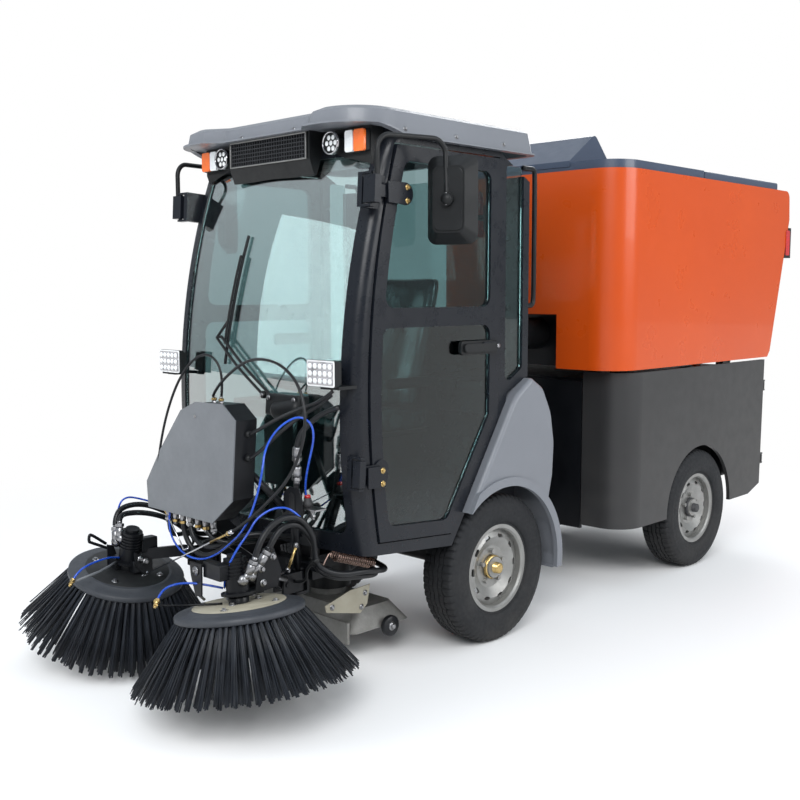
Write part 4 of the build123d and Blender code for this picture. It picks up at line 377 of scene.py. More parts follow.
def paint_nodes():
    """Give each node of the frame its material."""
    rows = [(material, node) for material, nodes in NODES_BY_MATERIAL for node in nodes.split()]
    rows += [(material, f"{node}_{side_name}") for material, nodes in PAIRS_BY_MATERIAL
             for node in nodes.split() for side_name, _ in SIDES]
    for material, node in rows:
        slots = frame["nodes"][node].data.materials
        slots.clear()
        slots.append(material)


paint_nodes()


# ---------------------------------------------------------------- mesh helpers
def polar(radius, angle):
    return radius * math.cos(angle), radius * math.sin(angle)


def ring(radius, count=6, turn=0.0):
    """Places round the origin; six of them are a hexagon's corners."""
    return [polar(radius, TAU * (k + turn) / count) for k in range(count)]


def shift(x, y, z):
    return Matrix.Translation((x, y, z))


def basis(place, normal):
    """Matrix with its Z along the normal and its Y as upright as can be, at a place."""
    z = Vector(normal).normalized()
    x = Vector((0, 0, 1)).cross(z)
    if x.length < 1e-4:         # upright normal
        x = Vector((1, 0, 0)).cross(z)
    x.normalize()
    return Matrix.Translation(place) @ Matrix((x, z.cross(x), z)).transposed().to_4x4()


class Form:
    """A mesh under construction; every shape added to it becomes part of one piece."""

    def __init__(self):
        self.bm = bmesh.new()

    def add(self, verts, faces, matrix=Matrix(), slot=0, smooth=False, bevel=0.0):
        made = [self.bm.verts.new(matrix @ Vector(v)) for v in verts]
        for face in faces:
            new = self.bm.faces.new([made[i] for i in face])
            new.material_index = slot
            new.smooth = smooth
        if bevel:
            edges = list(dict.fromkeys(edge for vert in made for edge in vert.link_edges))
            done = bmesh.ops.bevel(self.bm, geom=edges, offset=bevel, segments=2, affect="EDGES", profile=0.6)
            for face in done["faces"]:
                face.material_index = slot
                face.smooth = True

    def box(self, matrix, size, slot=0, bevel=0.0):
        """Box about the matrix's place."""
        x, y, z = (value / 2 for value in size)
        corners = [(sx * x, sy * y, sz * z) for sx in (-1, 1) for sy in (-1, 1) for sz in (-1, 1)]
        faces = ((0, 1, 3, 2), (4, 6, 7, 5), (0, 4, 5, 1), (2, 3, 7, 6), (0, 2, 6, 4), (1, 5, 7, 3))
        self.add(corners, faces, matrix, slot, bevel=bevel)

    def block(self, place, size, slot=0, bevel=0.0):
        """Box about a place, in line with the axes."""
        self.box(Matrix.Translation(place), size, slot, bevel)

    def turned(self, matrix, profile, steps, slot=0):
        """Profile of (radius, height) turned about the matrix's Z; it is closed where its radius is 0."""
        verts = [(*place, height) for radius, height in profile for place in ring(radius, steps)]
        faces = []
        for row in range(0, len(profile) * steps - steps, steps):
            for i in range(steps):
                a, b = row + i, row + (i + 1) % steps
                faces.append((a, b, b + steps, a + steps))
        self.add(verts, faces, matrix, slot, True)

    def prism(self, matrix, outline, depth, slot=0, bevel=0.0):
        """Outline in the matrix's XY, from 0 to the depth along its Z."""
        count = len(outline)
        verts = [(x, y, z) for z in (0, depth) for x, y in outline]
        faces = [tuple(range(count))[::-1], tuple(range(count, 2 * count))]
        faces += [(i, (i + 1) % count, count + (i + 1) % count, count + i) for i in range(count)]
        self.add(verts, faces, matrix, slot, bevel=bevel)

    def plate(self, places, normal, thickness, slot=0, bevel=0.0015):
        """Flat plate with the given corners, all in one plane with that normal, grown along the normal."""
        at = basis(places[0], normal)
        back = at.inverted()
        self.prism(at, [(back @ place).xy for place in places], thickness, slot, bevel)

    def bolt(self, place, normal, radius, slot=0, washer=True):
        """Hexagon head, mostly on a washer."""
        at = basis(place, normal)
        if washer:
            rim, thick = radius * 1.7, radius * 0.25
            self.turned(at, ((0, 0), (rim, 0), (rim, thick), (0, thick)), 16, slot)
        self.prism(at, ring(radius), radius * 1.1, slot, radius * 0.12)

    def tube(self, path, radius, slot=0, sides=12):
        """Round tube along close places."""
        last = len(path) - 1
        across = (path[1] - path[0]).normalized().orthogonal().normalized()
        verts, faces = [], []
        for k, place in enumerate(path):
            way = (path[min(k + 1, last)] - path[max(k - 1, 0)]).normalized()
            across = (across - way * across.dot(way)).normalized()
            other = way.cross(across)
            verts += [place + across * x + other * y for x, y in ring(radius, sides)]
        for k in range(last):
            for i in range(sides):
                j = (i + 1) % sides
                faces.append((k * sides + i, k * sides + j, (k + 1) * sides + j, (k + 1) * sides + i))
        faces.append(tuple(range(sides))[::-1])
        faces.append(tuple(range(last * sides, (last + 1) * sides)))
        self.add(verts, faces, Matrix(), slot, True)

    def rod(self, start, end, radius, slot=0, sides=12):
        self.tube([start, (start + end) / 2, end], radius, slot, sides)

    def fitting(self, place, direction, radius, slot=0, nut=0):
        """Crimped hose end: a long sleeve, a hexagon nut and a collar, pointing along the direction."""
        at = basis(place, direction)
        sleeve = ((0, -0.002), (radius * 1.05, -0.002), (radius * 1.3, 0.002), (radius * 1.3, radius * 2.6),
                  (radius * 1.05, radius * 2.9), (0, radius * 2.9))
        collar = ((0, radius * 4.1), (radius * 0.85, radius * 4.1), (radius * 0.85, radius * 5.2),
                  (0, radius * 5.2))
        self.turned(at, sleeve, 20, slot)
        self.prism(at @ shift(0, 0, radius * 3.0), ring(radius * 1.45), radius * 1.1, nut, radius * 0.12)
        self.turned(at, collar, 16, slot)

    def finish(self, name, body, materials):
        """Turn the form into a piece that rides on a body, or on none."""
        bmesh.ops.remove_doubles(self.bm, verts=self.bm.verts, dist=1e-6)
        bmesh.ops.dissolve_degenerate(self.bm, edges=self.bm.edges, dist=1e-7)
        bmesh.ops.recalc_face_normals(self.bm, faces=self.bm.faces)
        mesh = bpy.data.meshes.new(name)
        self.bm.to_mesh(mesh)
        self.bm.free()
        obj = link(bpy.data.objects.new(name, mesh))
        for material in materials:
            mesh.materials.append(material)
        if body:
            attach(obj, body)
        return obj


def smooth_path(points, steps=8):
    """Curve through given points (Catmull-Rom), as a list of close places."""
    points = [Vector(point) for point in points]
    ends = [points[0] * 2 - points[1]] + points + [points[-1] * 2 - points[-2]]
    path = []
    for k in range(len(points) - 1):
        a, b, c, d = ends[k:k + 4]
        for step in range(steps):
            t = step / steps
            path.append(0.5 * ((2 * b) + (c - a) * t + (2 * a - 5 * b + 4 * c - d) * t * t
                               + (3 * b - a - 3 * c + d) * t ** 3))
    return path + [points[-1]]


def spline_path(points):
    """Places along the smooth NURBS line that has the route's points as its control points."""
    data = bpy.data.curves.new("route", "CURVE")
    data.dimensions = "3D"
    data.resolution_u = 8
    line = data.splines.new("NURBS")
    line.points.add(len(points) - 1)
    for point, place in zip(line.points, points):
        point.co = (*place, 1)
    line.order_u = 3
    line.use_endpoint_u = True
    route_obj = bpy.data.objects.new("route", data)
    mesh = bpy.data.meshes.new_from_object(route_obj)
    path = [vertex.co.copy() for vertex in mesh.vertices]
    bpy.data.objects.remove(route_obj)
    bpy.data.meshes.remove(mesh)
    return path


def hose(name, points, radius, material, body, swings_with=None, stiffness="stiff"):
    """A hose that rides on a body, or, when it names a body it swings with, rides on none and keeps its
    place.
    """
    path = spline_path(points)
    form = Form()
    form.tube(path, radius)
    obj = form.finish(name, None if swings_with else body, [material])
    if swings_with:
        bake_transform(obj)


def rounded(width, height, radius, steps=5):
    """Rounded rectangle about the origin, as a list of places."""
    outline = []
    for cx, cy, start in ((1, 1, 0), (-1, 1, 90), (-1, -1, 180), (1, -1, 270)):
        for step in range(steps + 1):
            x, y = polar(radius, math.radians(start + 90 * step / steps))
            outline.append((cx * (width / 2 - radius) + x, cy * (height / 2 - radius) + y))
    return outline


# ---------------------------------------------------------------- tyres
TYRE_LOW, TYRE_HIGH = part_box("tyre_front_left")
TYRE_RADIUS = TYRE_HIGH[2] / 2
TYRE_HALF = (TYRE_HIGH[1] - TYRE_LOW[1]) / 2
RIM_LOW, RIM_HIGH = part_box("rim_front_left")
RIM_RADIUS = (RIM_HIGH[0] - RIM_LOW[0]) / 2
PITCHES = 62                # tread blocks round the tyre
ROWS_PER_PITCH = 4
GROOVE, SIPE = 0.008, 0.006         # their depths
ZIGZAG = 0.0028
INSET = 0.0002              # of the tread, inside the CAD's tyre
SHOULDER = 0.080            # from here outwards the faces are smooth
HALF_TREAD = (              # lateral place, depth, share of the zigzag, share of a sipe's depth
    (0.000, 0.0, 1, 0), (0.010, 0.0, 1, 0), (0.0105, GROOVE, 1, 0), (0.0155, GROOVE, 1, 0),
    (0.016, 0.0, 1, 0.6), (0.034, 0.0, 1, 0.6), (0.0345, GROOVE, 1, 0), (0.0395, GROOVE, 1, 0),
    (0.040, 0.0, 1, 1), (0.054, 0.0006, 0, 1), (0.066, 0.003, 0, 1), (0.073, 0.006, 0, 1),
    (0.079, 0.013, 0, 0.8),
)
SIDEWALL = (                # lateral place, radius
    (0.085, TYRE_RADIUS - 0.022), (0.0905, TYRE_RADIUS - 0.042), (0.0915, TYRE_RADIUS - 0.046),
    (0.0905, TYRE_RADIUS - 0.050), (0.0925, TYRE_RADIUS - 0.064), (TYRE_HALF - 0.0006, TYRE_RADIUS - 0.078),
    (0.0915, TYRE_RADIUS - 0.098), (0.086, RIM_RADIUS + 0.012), (0.080, RIM_RADIUS + 0.006),
    (0.0755, RIM_RADIUS + 0.004), (0.0745, RIM_RADIUS - 0.004), (0.067, RIM_RADIUS - 0.008),
)


def make_tyre(node, body):
    """Ribbed road tyre: zigzag grooves, siped shoulders and a beaded sidewall."""
    low, high = (Vector(corner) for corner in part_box(node))
    centre = (low + high) / 2
    half = [(place, TYRE_RADIUS - INSET - depth, zig, sipe) for place, depth, zig, sipe in HALF_TREAD]
    half += [(min(place, TYRE_HALF - 0.0005), radius, 0, 0) for place, radius in SIDEWALL]
    section = [(-place, *rest) for place, *rest in reversed(half[1:])] + half
    rows = PITCHES * ROWS_PER_PITCH
    width = len(section)
    verts, faces = [], []
    for row in range(rows):
        cut = SIPE if row % ROWS_PER_PITCH == 0 else 0.0
        zigzag = ZIGZAG * (abs((row / ROWS_PER_PITCH) % 2 - 1) * 2 - 1)
        for place, radius, zig, sipe in section:
            x, z = polar(radius - cut * sipe, TAU * row / rows)
            verts.append((x, place + zigzag * zig, z))
        here, after = row * width, (row + 1) % rows * width
        faces += [(here + i, here + i + 1, after + i + 1, after + i) for i in range(width - 1)]
    form = Form()
    form.add(verts, faces, Matrix.Translation(centre))
    obj = form.finish(node + "_tread", body, [TYRE])
    for polygon in obj.data.polygons:
        polygon.use_smooth = abs(polygon.center.y - centre.y) > SHOULDER
    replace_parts(obj, node)


for side_name, side in SIDES:
    for end in ("front", "rear"):
        make_tyre(f"tyre_{end}_{side_name}", f"wheel_{end}_{side_name}")


# ---------------------------------------------------------------- brooms
DISC_RADIUS = 0.236
BROOM_DROP = 0.276          # of the tips, below the spin joint
ROOT_DROP = 0.030
TIP_RADIUS = {"left": 0.419, "right": 0.411}
SEEDS = {"left": 11, "right": 12}
STRANDS = 5                 # bristles in a tuft
STRAND_PITCH = 0.0018       # between neighbours, at the root
STRAND_WIDTHS = (0.0022, 0.0031)    # half widths at root and tip
STRAND_THICK = 0.0020       # half of it
TUFT_ROWS = (               # tufts, root radius, how far the tips stay inside the outermost
    (62, 0.222, 0.0), (60, 0.211, 0.020), (60, 0.200, 0.040), (58, 0.189, 0.062), (54, 0.177, 0.088),
    (48, 0.163, 0.116),
)
STRAND_FACES = [(t, (t + 1) % 6, (t + 1) % 6 + 6, t + 6) for t in range(6)] + [(6, 7, 8, 9, 10, 11)]


def add_strand(form, at, angle, start, end):
    """Flat six-sided bristle from its root to its tip, wide across the direction of the root's angle."""
    out = Vector((*polar(1, angle), 0))
    across = Vector((-out.y, out.x, 0))
    verts = [place + across * (x * half_width) + out * (y * STRAND_THICK)
             for place, half_width in zip((start, end), STRAND_WIDTHS) for x, y in ring(1)]
    form.add(verts, STRAND_FACES, at, 3, True)


def make_broom(side_name, plate):
    """Disc with a rubber skirt, and flat bristles in tufts that flare out from under it."""
    joint = JOINTS[f"broom_spin_{side_name}"]
    at = basis(Vector(joint["pos_m"]), Vector(joint["axis"]).normalized())
    up = at.to_3x3() @ Vector((0, 0, 1))
    rng = random.Random(SEEDS[side_name])
    form = Form()
    form.turned(at, (
        (0, 0.0), (0.180, 0.0), (0.184, -0.001), (0.187, -0.005), (0.215, -0.009), (0.230, -0.013),
        (DISC_RADIUS, -0.017), (DISC_RADIUS + 0.001, -0.033), (DISC_RADIUS - 0.004, -0.037),
        (DISC_RADIUS - 0.03, -0.037), (DISC_RADIUS - 0.05, -0.030), (0.0, -0.030),
    ), 72)
    form.turned(at, ((0.0, 0.003), (0.168, 0.003), (0.171, 0.0)), 64, 4)
    form.turned(at, ((0.0, 0.026), (0.036, 0.026), (0.038, 0.023), (0.038, 0.0)), 40, 1)
    for x, y in ring(0.140, 4, 0.4):
        form.bolt(at @ Vector((x, y, 0.003)), up, 0.008, 2)
    for row, (tufts, root, inside) in enumerate(TUFT_ROWS):
        tip = TIP_RADIUS[side_name] - 0.004 - inside
        for k in range(tufts):
            base_angle = TAU * (k + row * 0.5 + rng.uniform(-0.06, 0.06)) / tufts
            lean_out = -abs(rng.gauss(0, 0.006))
            curl = rng.gauss(0, 0.012)
            for strand in range(STRANDS):
                share = (strand - (STRANDS - 1) / 2) * STRAND_PITCH
                deep = 0.004 * math.cos(math.pi * (strand / (STRANDS - 1) - 0.5)) + rng.gauss(0, 0.0012)
                angle = base_angle + share / root
                end_angle = base_angle + curl + share * 1.7 / tip + rng.gauss(0, 0.0012)
                end_radius = tip + lean_out - abs(rng.gauss(0, 0.004))
                end_drop = BROOM_DROP - 0.003 - abs(rng.gauss(0, 0.007))
                start = Vector((*polar(root + deep, angle), -ROOT_DROP))
                end = Vector((*polar(end_radius + deep - 0.004, end_angle), -end_drop))
                add_strand(form, at, angle, start, end)
    materials = [SKIRT, FRAME_BLACK, STEEL, BRISTLE, plate]
    obj = form.finish(f"broom_brush_{side_name}", f"broom_{side_name}", materials)
    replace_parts(obj, f"broom_{side_name}")


make_broom("left", BEIGE)
make_broom("right", PLASTIC)


# ---------------------------------------------------------------- lamps and grille
LAMP_Z = 2.0855             # middle of the roof lamps and of the grille


def make_work_lamp(side_name, side):
    """Flood lamp: bright bezel and a grid of small domed lenses."""
    at = basis((front(0.9381), side * 0.494, 1.223), (1, 0, 0))
    pitch = 0.0272
    form = Form()
    form.prism(at, rounded(0.150, 0.096, 0.006), 0.003, 0, 0.001)
    form.prism(at @ shift(0, 0, 0.003), rounded(0.140, 0.086, 0.004), 0.001, 1)
    for column in range(-2, 3):
        for row in range(-1, 2):
            cell = at @ shift(column * pitch, row * pitch, 0.004)
            form.prism(cell, rounded(0.0245, 0.0245, 0.003, 2), 0.002, 2, 0.0006)
            form.turned(cell, ((0.0108, 0.002), (0.0095, 0.005), (0.0055, 0.0075), (0, 0.0082)), 14, 3)
    form.finish(f"work_lamp_face_{side_name}", "front_unit", [WHITE_PAINT, CHROME, CHROME, LENS_CLEAR])


def make_roof_lamp(side_name, side):
    """Round lamp with seven bright cells under a chrome ring, and the two-colour signal beside it."""
    at = basis((front(0.7523), side * 0.348, LAMP_Z), (1, 0, 0))
    trim = ((0.0375, -0.009), (0.0385, 0.002), (0.0415, 0.004), (0.0440, 0.001), (0.0440, -0.006))
    cup = ((0.0112, 0.0), (0.0108, 0.004), (0.0095, 0.004), (0.0050, 0.001), (0.0, 0.0015))
    form = Form()
    form.turned(at, trim, 48)
    form.turned(at, ((0, -0.0085), (0.0375, -0.0085)), 40, 1)
    for x, y in [(0.0, 0.0)] + ring(0.0235):
        cell = at @ shift(x, y, -0.008)
        form.turned(cell, cup, 20)
        form.turned(cell, ((0.0095, 0.0042), (0.0065, 0.0062), (0.0, 0.0072)), 16, 2)
    form.finish(f"roof_lamp_{side_name}", "front_unit", [CHROME, PLASTIC, LENS_CLEAR])
    form = Form()
    for y, width, slot in ((0.4865, 0.056, 0), (0.4325, 0.044, 1)):
        block = basis((front(0.7220), side * y, LAMP_Z), (1, 0, 0))
        form.prism(block, rounded(width, 0.080, 0.006), 0.013, slot, 0.003)
        for rib in range(6):
            form.box(block @ shift(0, (rib - 2.5) * 0.012, 0.013), (width - 0.014, 0.003, 0.0015), slot)
    form.finish(f"signal_{side_name}", "front_unit", [LENS_ORANGE, LENS_CLEAR])


def make_grille_frame():
    """Bright strip round the roof grille."""
    form = Form()
    x = front(0.7815)
    for z in (LAMP_Z - 0.0500, LAMP_Z + 0.0490):
        form.block((x, 0, z), (0.006, 0.486, 0.005), 0, 0.001)
    for y in (-0.2405, 0.2405):
        form.block((x, y, 2.085), (0.006, 0.005, 0.094), 0, 0.001)
    form.finish("grille_frame", "front_unit", [RIM])


for side_name, side in SIDES:
    make_work_lamp(side_name, side)
    make_roof_lamp(side_name, side)
make_grille_frame()


# ---------------------------------------------------------------- windscreen wiper
def on_glass(y, z, lift):
    """Place on the windscreen's outer face at a Y and Z, lifted along its normal."""
    glass = frame["nodes"]["windscreen"]
    hit, place, normal, _ = glass.ray_cast(Vector((front(2.0), y, z)), Vector((-1, 0, 0)))
    if not hit:
        return Vector((front(0.9), y, z))
    return place + normal * lift


def on_blade(k, lift):
    """One of the places 0 to 6 along the wiper's blade, lifted from the glass."""
    return on_glass(-0.150 + 0.012 * k, 1.225 + 0.087 * k, lift)


def make_wiper():
    """Motor under the screen, two parallel arms and a long blade that lies on the glass."""
    form = Form()
    pivots = [on_glass(0.19, 1.10, 0.020), on_glass(0.12, 1.115, 0.020)]
    elbows = [on_glass(-0.155, 1.335, 0.030), on_glass(-0.190, 1.330, 0.030)]
    boss = ((0, 0), (0.015, 0), (0.015, 0.026), (0.010, 0.030), (0, 0.030))
    for pivot, end in zip(pivots, elbows):
        form.tube(smooth_path((pivot, pivot.lerp(end, 0.5) + Vector((0.012, 0, 0)), end)), 0.006, 0, 8)
        form.turned(basis(pivot - Vector((0.02, 0, 0)), (1, 0, 0.12)), boss, 20)
        form.bolt(pivot + Vector((0.009, 0, 0)), (1, 0, 0), 0.006, 1)
    form.tube(smooth_path([on_blade(k, 0.010) for k in range(7)]), 0.0065, 2, 8)
    spine = [on_blade(k, 0.024) for k in range(1, 6)]
    form.tube(smooth_path(spine), 0.005, 0, 8)
    for k in (1, 3, 5):
        form.tube([on_blade(k, 0.026), on_blade(k, 0.010)], 0.006, 0, 8)
    form.tube([*elbows, spine[1]], 0.006, 0, 8)
    # motor box and its guard under the pivots
    motor = on_glass(0.26, 1.085, 0.028)
    guard = ((0, -0.08), (0.034, -0.08), (0.036, -0.07), (0.036, 0.05), (0.028, 0.07), (0, 0.07))
    form.box(basis(motor, (1, 0, 0.1)), (0.20, 0.085, 0.055), 0, 0.008)
    form.turned(basis(motor + Vector((0.010, 0.03, -0.01)), (0, 1, 0.15)), guard, 28)
    for y in (-0.075, 0.075):
        form.bolt(motor + Vector((0.030, y, 0.028)), (1, 0, 0.1), 0.006, 1)
    form.finish("wiper", "front_unit", [PLASTIC, STEEL, RUBBER])


make_wiper()


# ---------------------------------------------------------------- mirrors
MIRROR_TURN = math.radians(20)      # of the faces, outwards from straight ahead


def make_mirror_face(side_name, side):
    """Glass, stepped back and ball clamp of a door mirror."""
    normal = Vector((math.cos(MIRROR_TURN), side * math.sin(MIRROR_TURN), 0))
    middle = ahead(0.458, side * 0.705, 1.868)
    clamp = ((0, 0), (0.024, 0), (0.026, 0.006), (0.022, 0.016), (0.020, 0.026), (0, 0.030))
    form = Form()
    form.prism(basis(middle - normal * 0.0140, -normal), rounded(0.188, 0.316, 0.032), 0.002, 0, 0.0008)
    form.prism(basis(middle - normal * 0.0160, -normal), rounded(0.176, 0.304, 0.028), 0.0008, 1)
    form.prism(basis(middle + normal * 0.0295, normal), rounded(0.118, 0.232, 0.022), 0.006, 0, 0.003)
    form.turned(basis(middle + normal * 0.034, normal), clamp, 28)
    for z in (-0.020, 0.020):
        form.bolt(middle + normal * 0.052 + Vector((0, 0, z)), normal, 0.004, 2, False)
    form.finish(f"mirror_face_{side_name}", f"door_{side_name}", [PLASTIC, MIRROR, STEEL])


for side_name, side in SIDES:
    make_mirror_face(side_name, side)


# ---------------------------------------------------------------- wheel hubs
def make_hub(node, body, side, driven):
    """Hub cap over the axle's end: brass flange in front, dark cap with bright nuts behind."""
    low, high = (Vector(corner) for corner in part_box(node))
    centre = (low + high) / 2
    outer = high.y if side > 0 else -low.y
    at = basis((centre.x, side * (outer - 0.036), centre.z), (0, side, 0))
    cap = ((0, 0.050), (0.018, 0.050), (0.023, 0.047), (0.025, 0.020), (0.032, 0.017), (0.050, 0.015),
           (0.053, 0.010), (0.053, 0.0))
    form = Form()
    form.turned(at, cap, 40, 1 if driven else 0)
    for x, y in ring(0.041, 6, 0.5):
        form.bolt(at @ Vector((x, y, 0.0155)), (0, side, 0), 0.0045, 2, False)
    form.finish(node.replace("rim", "hub"), body, [BRASS, CAST, STEEL])


for side_name, side in SIDES:
    for end in ("front", "rear"):
        make_hub(f"rim_{end}_{side_name}", f"wheel_{end}_{side_name}", side, end == "rear")


# ---------------------------------------------------------------- brackets and elbows on the broom arms
def make_left_gear():
    """Hose elbows, brackets, lift ram and turnbuckle round the left broom's motor."""
    form = Form()
    boss = ((0, -0.016), (0.017, -0.014), (0.021, -0.004), (0.021, 0.006), (0.015, 0.014), (0, 0.016))
    for elbow, start, end in (route((1.250, 0.418, 0.495), (1.236, 0.432, 0.520), (1.222, 0.445, 0.565)),
                              route((1.207, 0.408, 0.500), (1.178, 0.426, 0.545), (1.149, 0.440, 0.598))):
        form.rod(elbow - Vector((0.004, 0.025, 0)), elbow, 0.014)
        form.turned(basis(elbow, (0, 1, 0)), boss, 24)
        form.rod(elbow, start, 0.012)
        form.fitting(start, end - start, 0.0125)
        form.rod(start.lerp(end, 0.35), end, 0.0135, 1)
    # slotted bracket in front of the motor, on its bar
    form.plate(facing(1.325, (0.203, 0.540), (0.279, 0.541), (0.275, 0.423), (0.237, 0.415), (0.209, 0.492)),
               (1, 0, 0), 0.006, 1)
    form.block(ahead(1.300, 0.325, 0.522), (0.040, 0.105, 0.058), 1, 0.003)
    disc = ((0, 0), (0.017, 0), (0.017, 0.004), (0, 0.005))
    form.turned(basis(ahead(1.331, 0.243, 0.512), (1, 0, 0)), disc, 24)
    form.bolt(ahead(1.333, 0.240, 0.512), (1, 0, 0), 0.006)
    form.rod(ahead(1.325, 0.243, 0.425), ahead(1.300, 0.250, 0.398), 0.005)
    form.tube(smooth_path(route((1.485, 0.232, 0.424), (1.470, 0.235, 0.412), (1.380, 0.262, 0.398),
                                (1.290, 0.345, 0.402)), 6), 0.004, 1, 8)
    # plates with bright bolts that carry the motor
    form.plate(sideways(0.398, (1.190, 0.428), (1.085, 0.435), (1.062, 0.492), (1.098, 0.585), (1.140, 0.575),
                        (1.172, 0.520)), (0, 1, 0), 0.008, 1)
    for x, z in ((1.155, 0.515), (1.150, 0.462), (1.102, 0.552)):
        form.bolt(ahead(x, 0.406, z), (0, 1, 0), 0.0085)
    form.block(ahead(1.205, 0.375, 0.437), (0.12, 0.060, 0.022), 1, 0.003)
    for x, y in ((1.165, 0.395), (1.25, 0.335), (1.285, 0.40)):
        form.bolt(ahead(x, y, 0.409), (0.1, 0, 1), 0.008)
    # lift ram between arm and carrier
    form.rod(ahead(1.120, 0.372, 0.478), ahead(1.010, 0.366, 0.440), 0.010)
    # turnbuckle
    form.rod(ahead(1.015, 0.385, 0.482), ahead(0.990, 0.405, 0.572), 0.0055, 2)
    for place in route((1.015, 0.385, 0.480), (0.990, 0.405, 0.574)):
        form.turned(basis(place, (0, 1, 0)), ((0, -0.006), (0.010, -0.005), (0.010, 0.005), (0, 0.006)), 16)
    form.rod(ahead(1.015, 0.385, 0.480), ahead(1.085, 0.392, 0.470), 0.006, 1)
    form.finish("motor_fittings_left", "broom_arm_left", [STEEL, FRAME_BLACK, BRASS])


def make_right_gear():
    """Hose elbows, handle loop and brackets round the right broom's motor."""
    form = Form()
    boss = ((0, -0.016), (0.019, -0.012), (0.022, 0), (0.017, 0.012), (0, 0.016))
    for lift in (0.0, 0.034):
        elbow = ahead(1.262, -0.430 + lift, 0.492 + lift * 0.6)
        form.rod(elbow - Vector((0.035, -0.02, 0)), elbow, 0.013)
        form.turned(basis(elbow, (1, 0, 0)), boss, 24)
        form.fitting(elbow + Vector((0, 0, 0.010)), (-0.1, -0.15, 1), 0.0125)
    # handle loop of flat bar
    loop = sideways(-0.470, (1.262, 0.352), (1.262, 0.450), (1.275, 0.460), (1.350, 0.497), (1.360, 0.505),
                    (1.359, 0.525), (1.346, 0.527), (1.285, 0.482))
    form.tube(smooth_path(loop, 5), 0.0065, 1, 8)
    form.plate(sideways(-0.466, (1.285, 0.352), (1.235, 0.352), (1.235, 0.415), (1.255, 0.470),
                        (1.285, 0.480)), (0, 1, 0), 0.006, 1)
    form.block(ahead(1.235, -0.435, 0.405), (0.09, 0.060, 0.05), 1, 0.004)
    # bracket with two bright bolts
    form.plate(sideways(-0.345, (1.233, 0.458), (1.154, 0.420), (1.150, 0.360), (1.191, 0.356),
                        (1.229, 0.401)), (0, 1, 0), 0.008, 1)
    for x, z in ((1.205, 0.425), (1.180, 0.410)):
        form.bolt(ahead(x, -0.337, z), (0, 1, 0), 0.0085)
    form.bolt(ahead(1.240, -0.402, 0.440), (0.3, 1, 0.3), 0.010)
    form.block(ahead(1.190, -0.365, 0.392), (0.09, 0.050, 0.05), 1, 0.004)
    form.block(ahead(1.150, -0.372, 0.475), (0.075, 0.045, 0.060), 1, 0.006)
    # carrier of the spray nozzle
    form.tube(route((1.275, -0.405, 0.415), (1.330, -0.372, 0.412), (1.384, -0.350, 0.406),
                    (1.495, -0.338, 0.392)), 0.0055, 2, 8)
    form.finish("motor_fittings_right", "broom_arm_right", [STEEL, FRAME_BLACK, VALVE_GREY])


make_left_gear()
make_right_gear()


# ---------------------------------------------------------------- hoses, tubes and cables
# places from end to end of each, given from the front axle as for all that is on the front unit
OIL_RADIUS, WATER_RADIUS, SPRAY_RADIUS = 0.0115, 0.0040, 0.0042


def spray(side_name, *places):
    """Blue water tube that ends in a brass spray tip."""
    name, body = f"spray_{side_name}", f"broom_arm_{side_name}"
    points = route(*places)
    hose(name, points, SPRAY_RADIUS, BLUE_HOSE, body, None, "medium")
    tip, inner = points[:2]
    form = Form()
    form.fitting(tip + (inner - tip).normalized() * 0.006, tip - inner, 0.006)
    form.bolt(tip, inner - tip, 0.009, 0, False)
    form.box(basis(tip, tip - inner), (0.020, 0.014, 0.010), 0, 0.002)
    form.finish(name + "_tip", body, [BRASS])


spray("left", (1.490, 0.232, 0.430), (1.470, 0.220, 0.452), (1.425, 0.205, 0.466), (1.370, 0.215, 0.470),
      (1.310, 0.262, 0.462), (1.262, 0.312, 0.447))
spray("right", (1.512, -0.332, 0.398), (1.492, -0.330, 0.428), (1.437, -0.338, 0.448), (1.353, -0.360, 0.452),
      (1.300, -0.385, 0.442), (1.262, -0.405, 0.430))

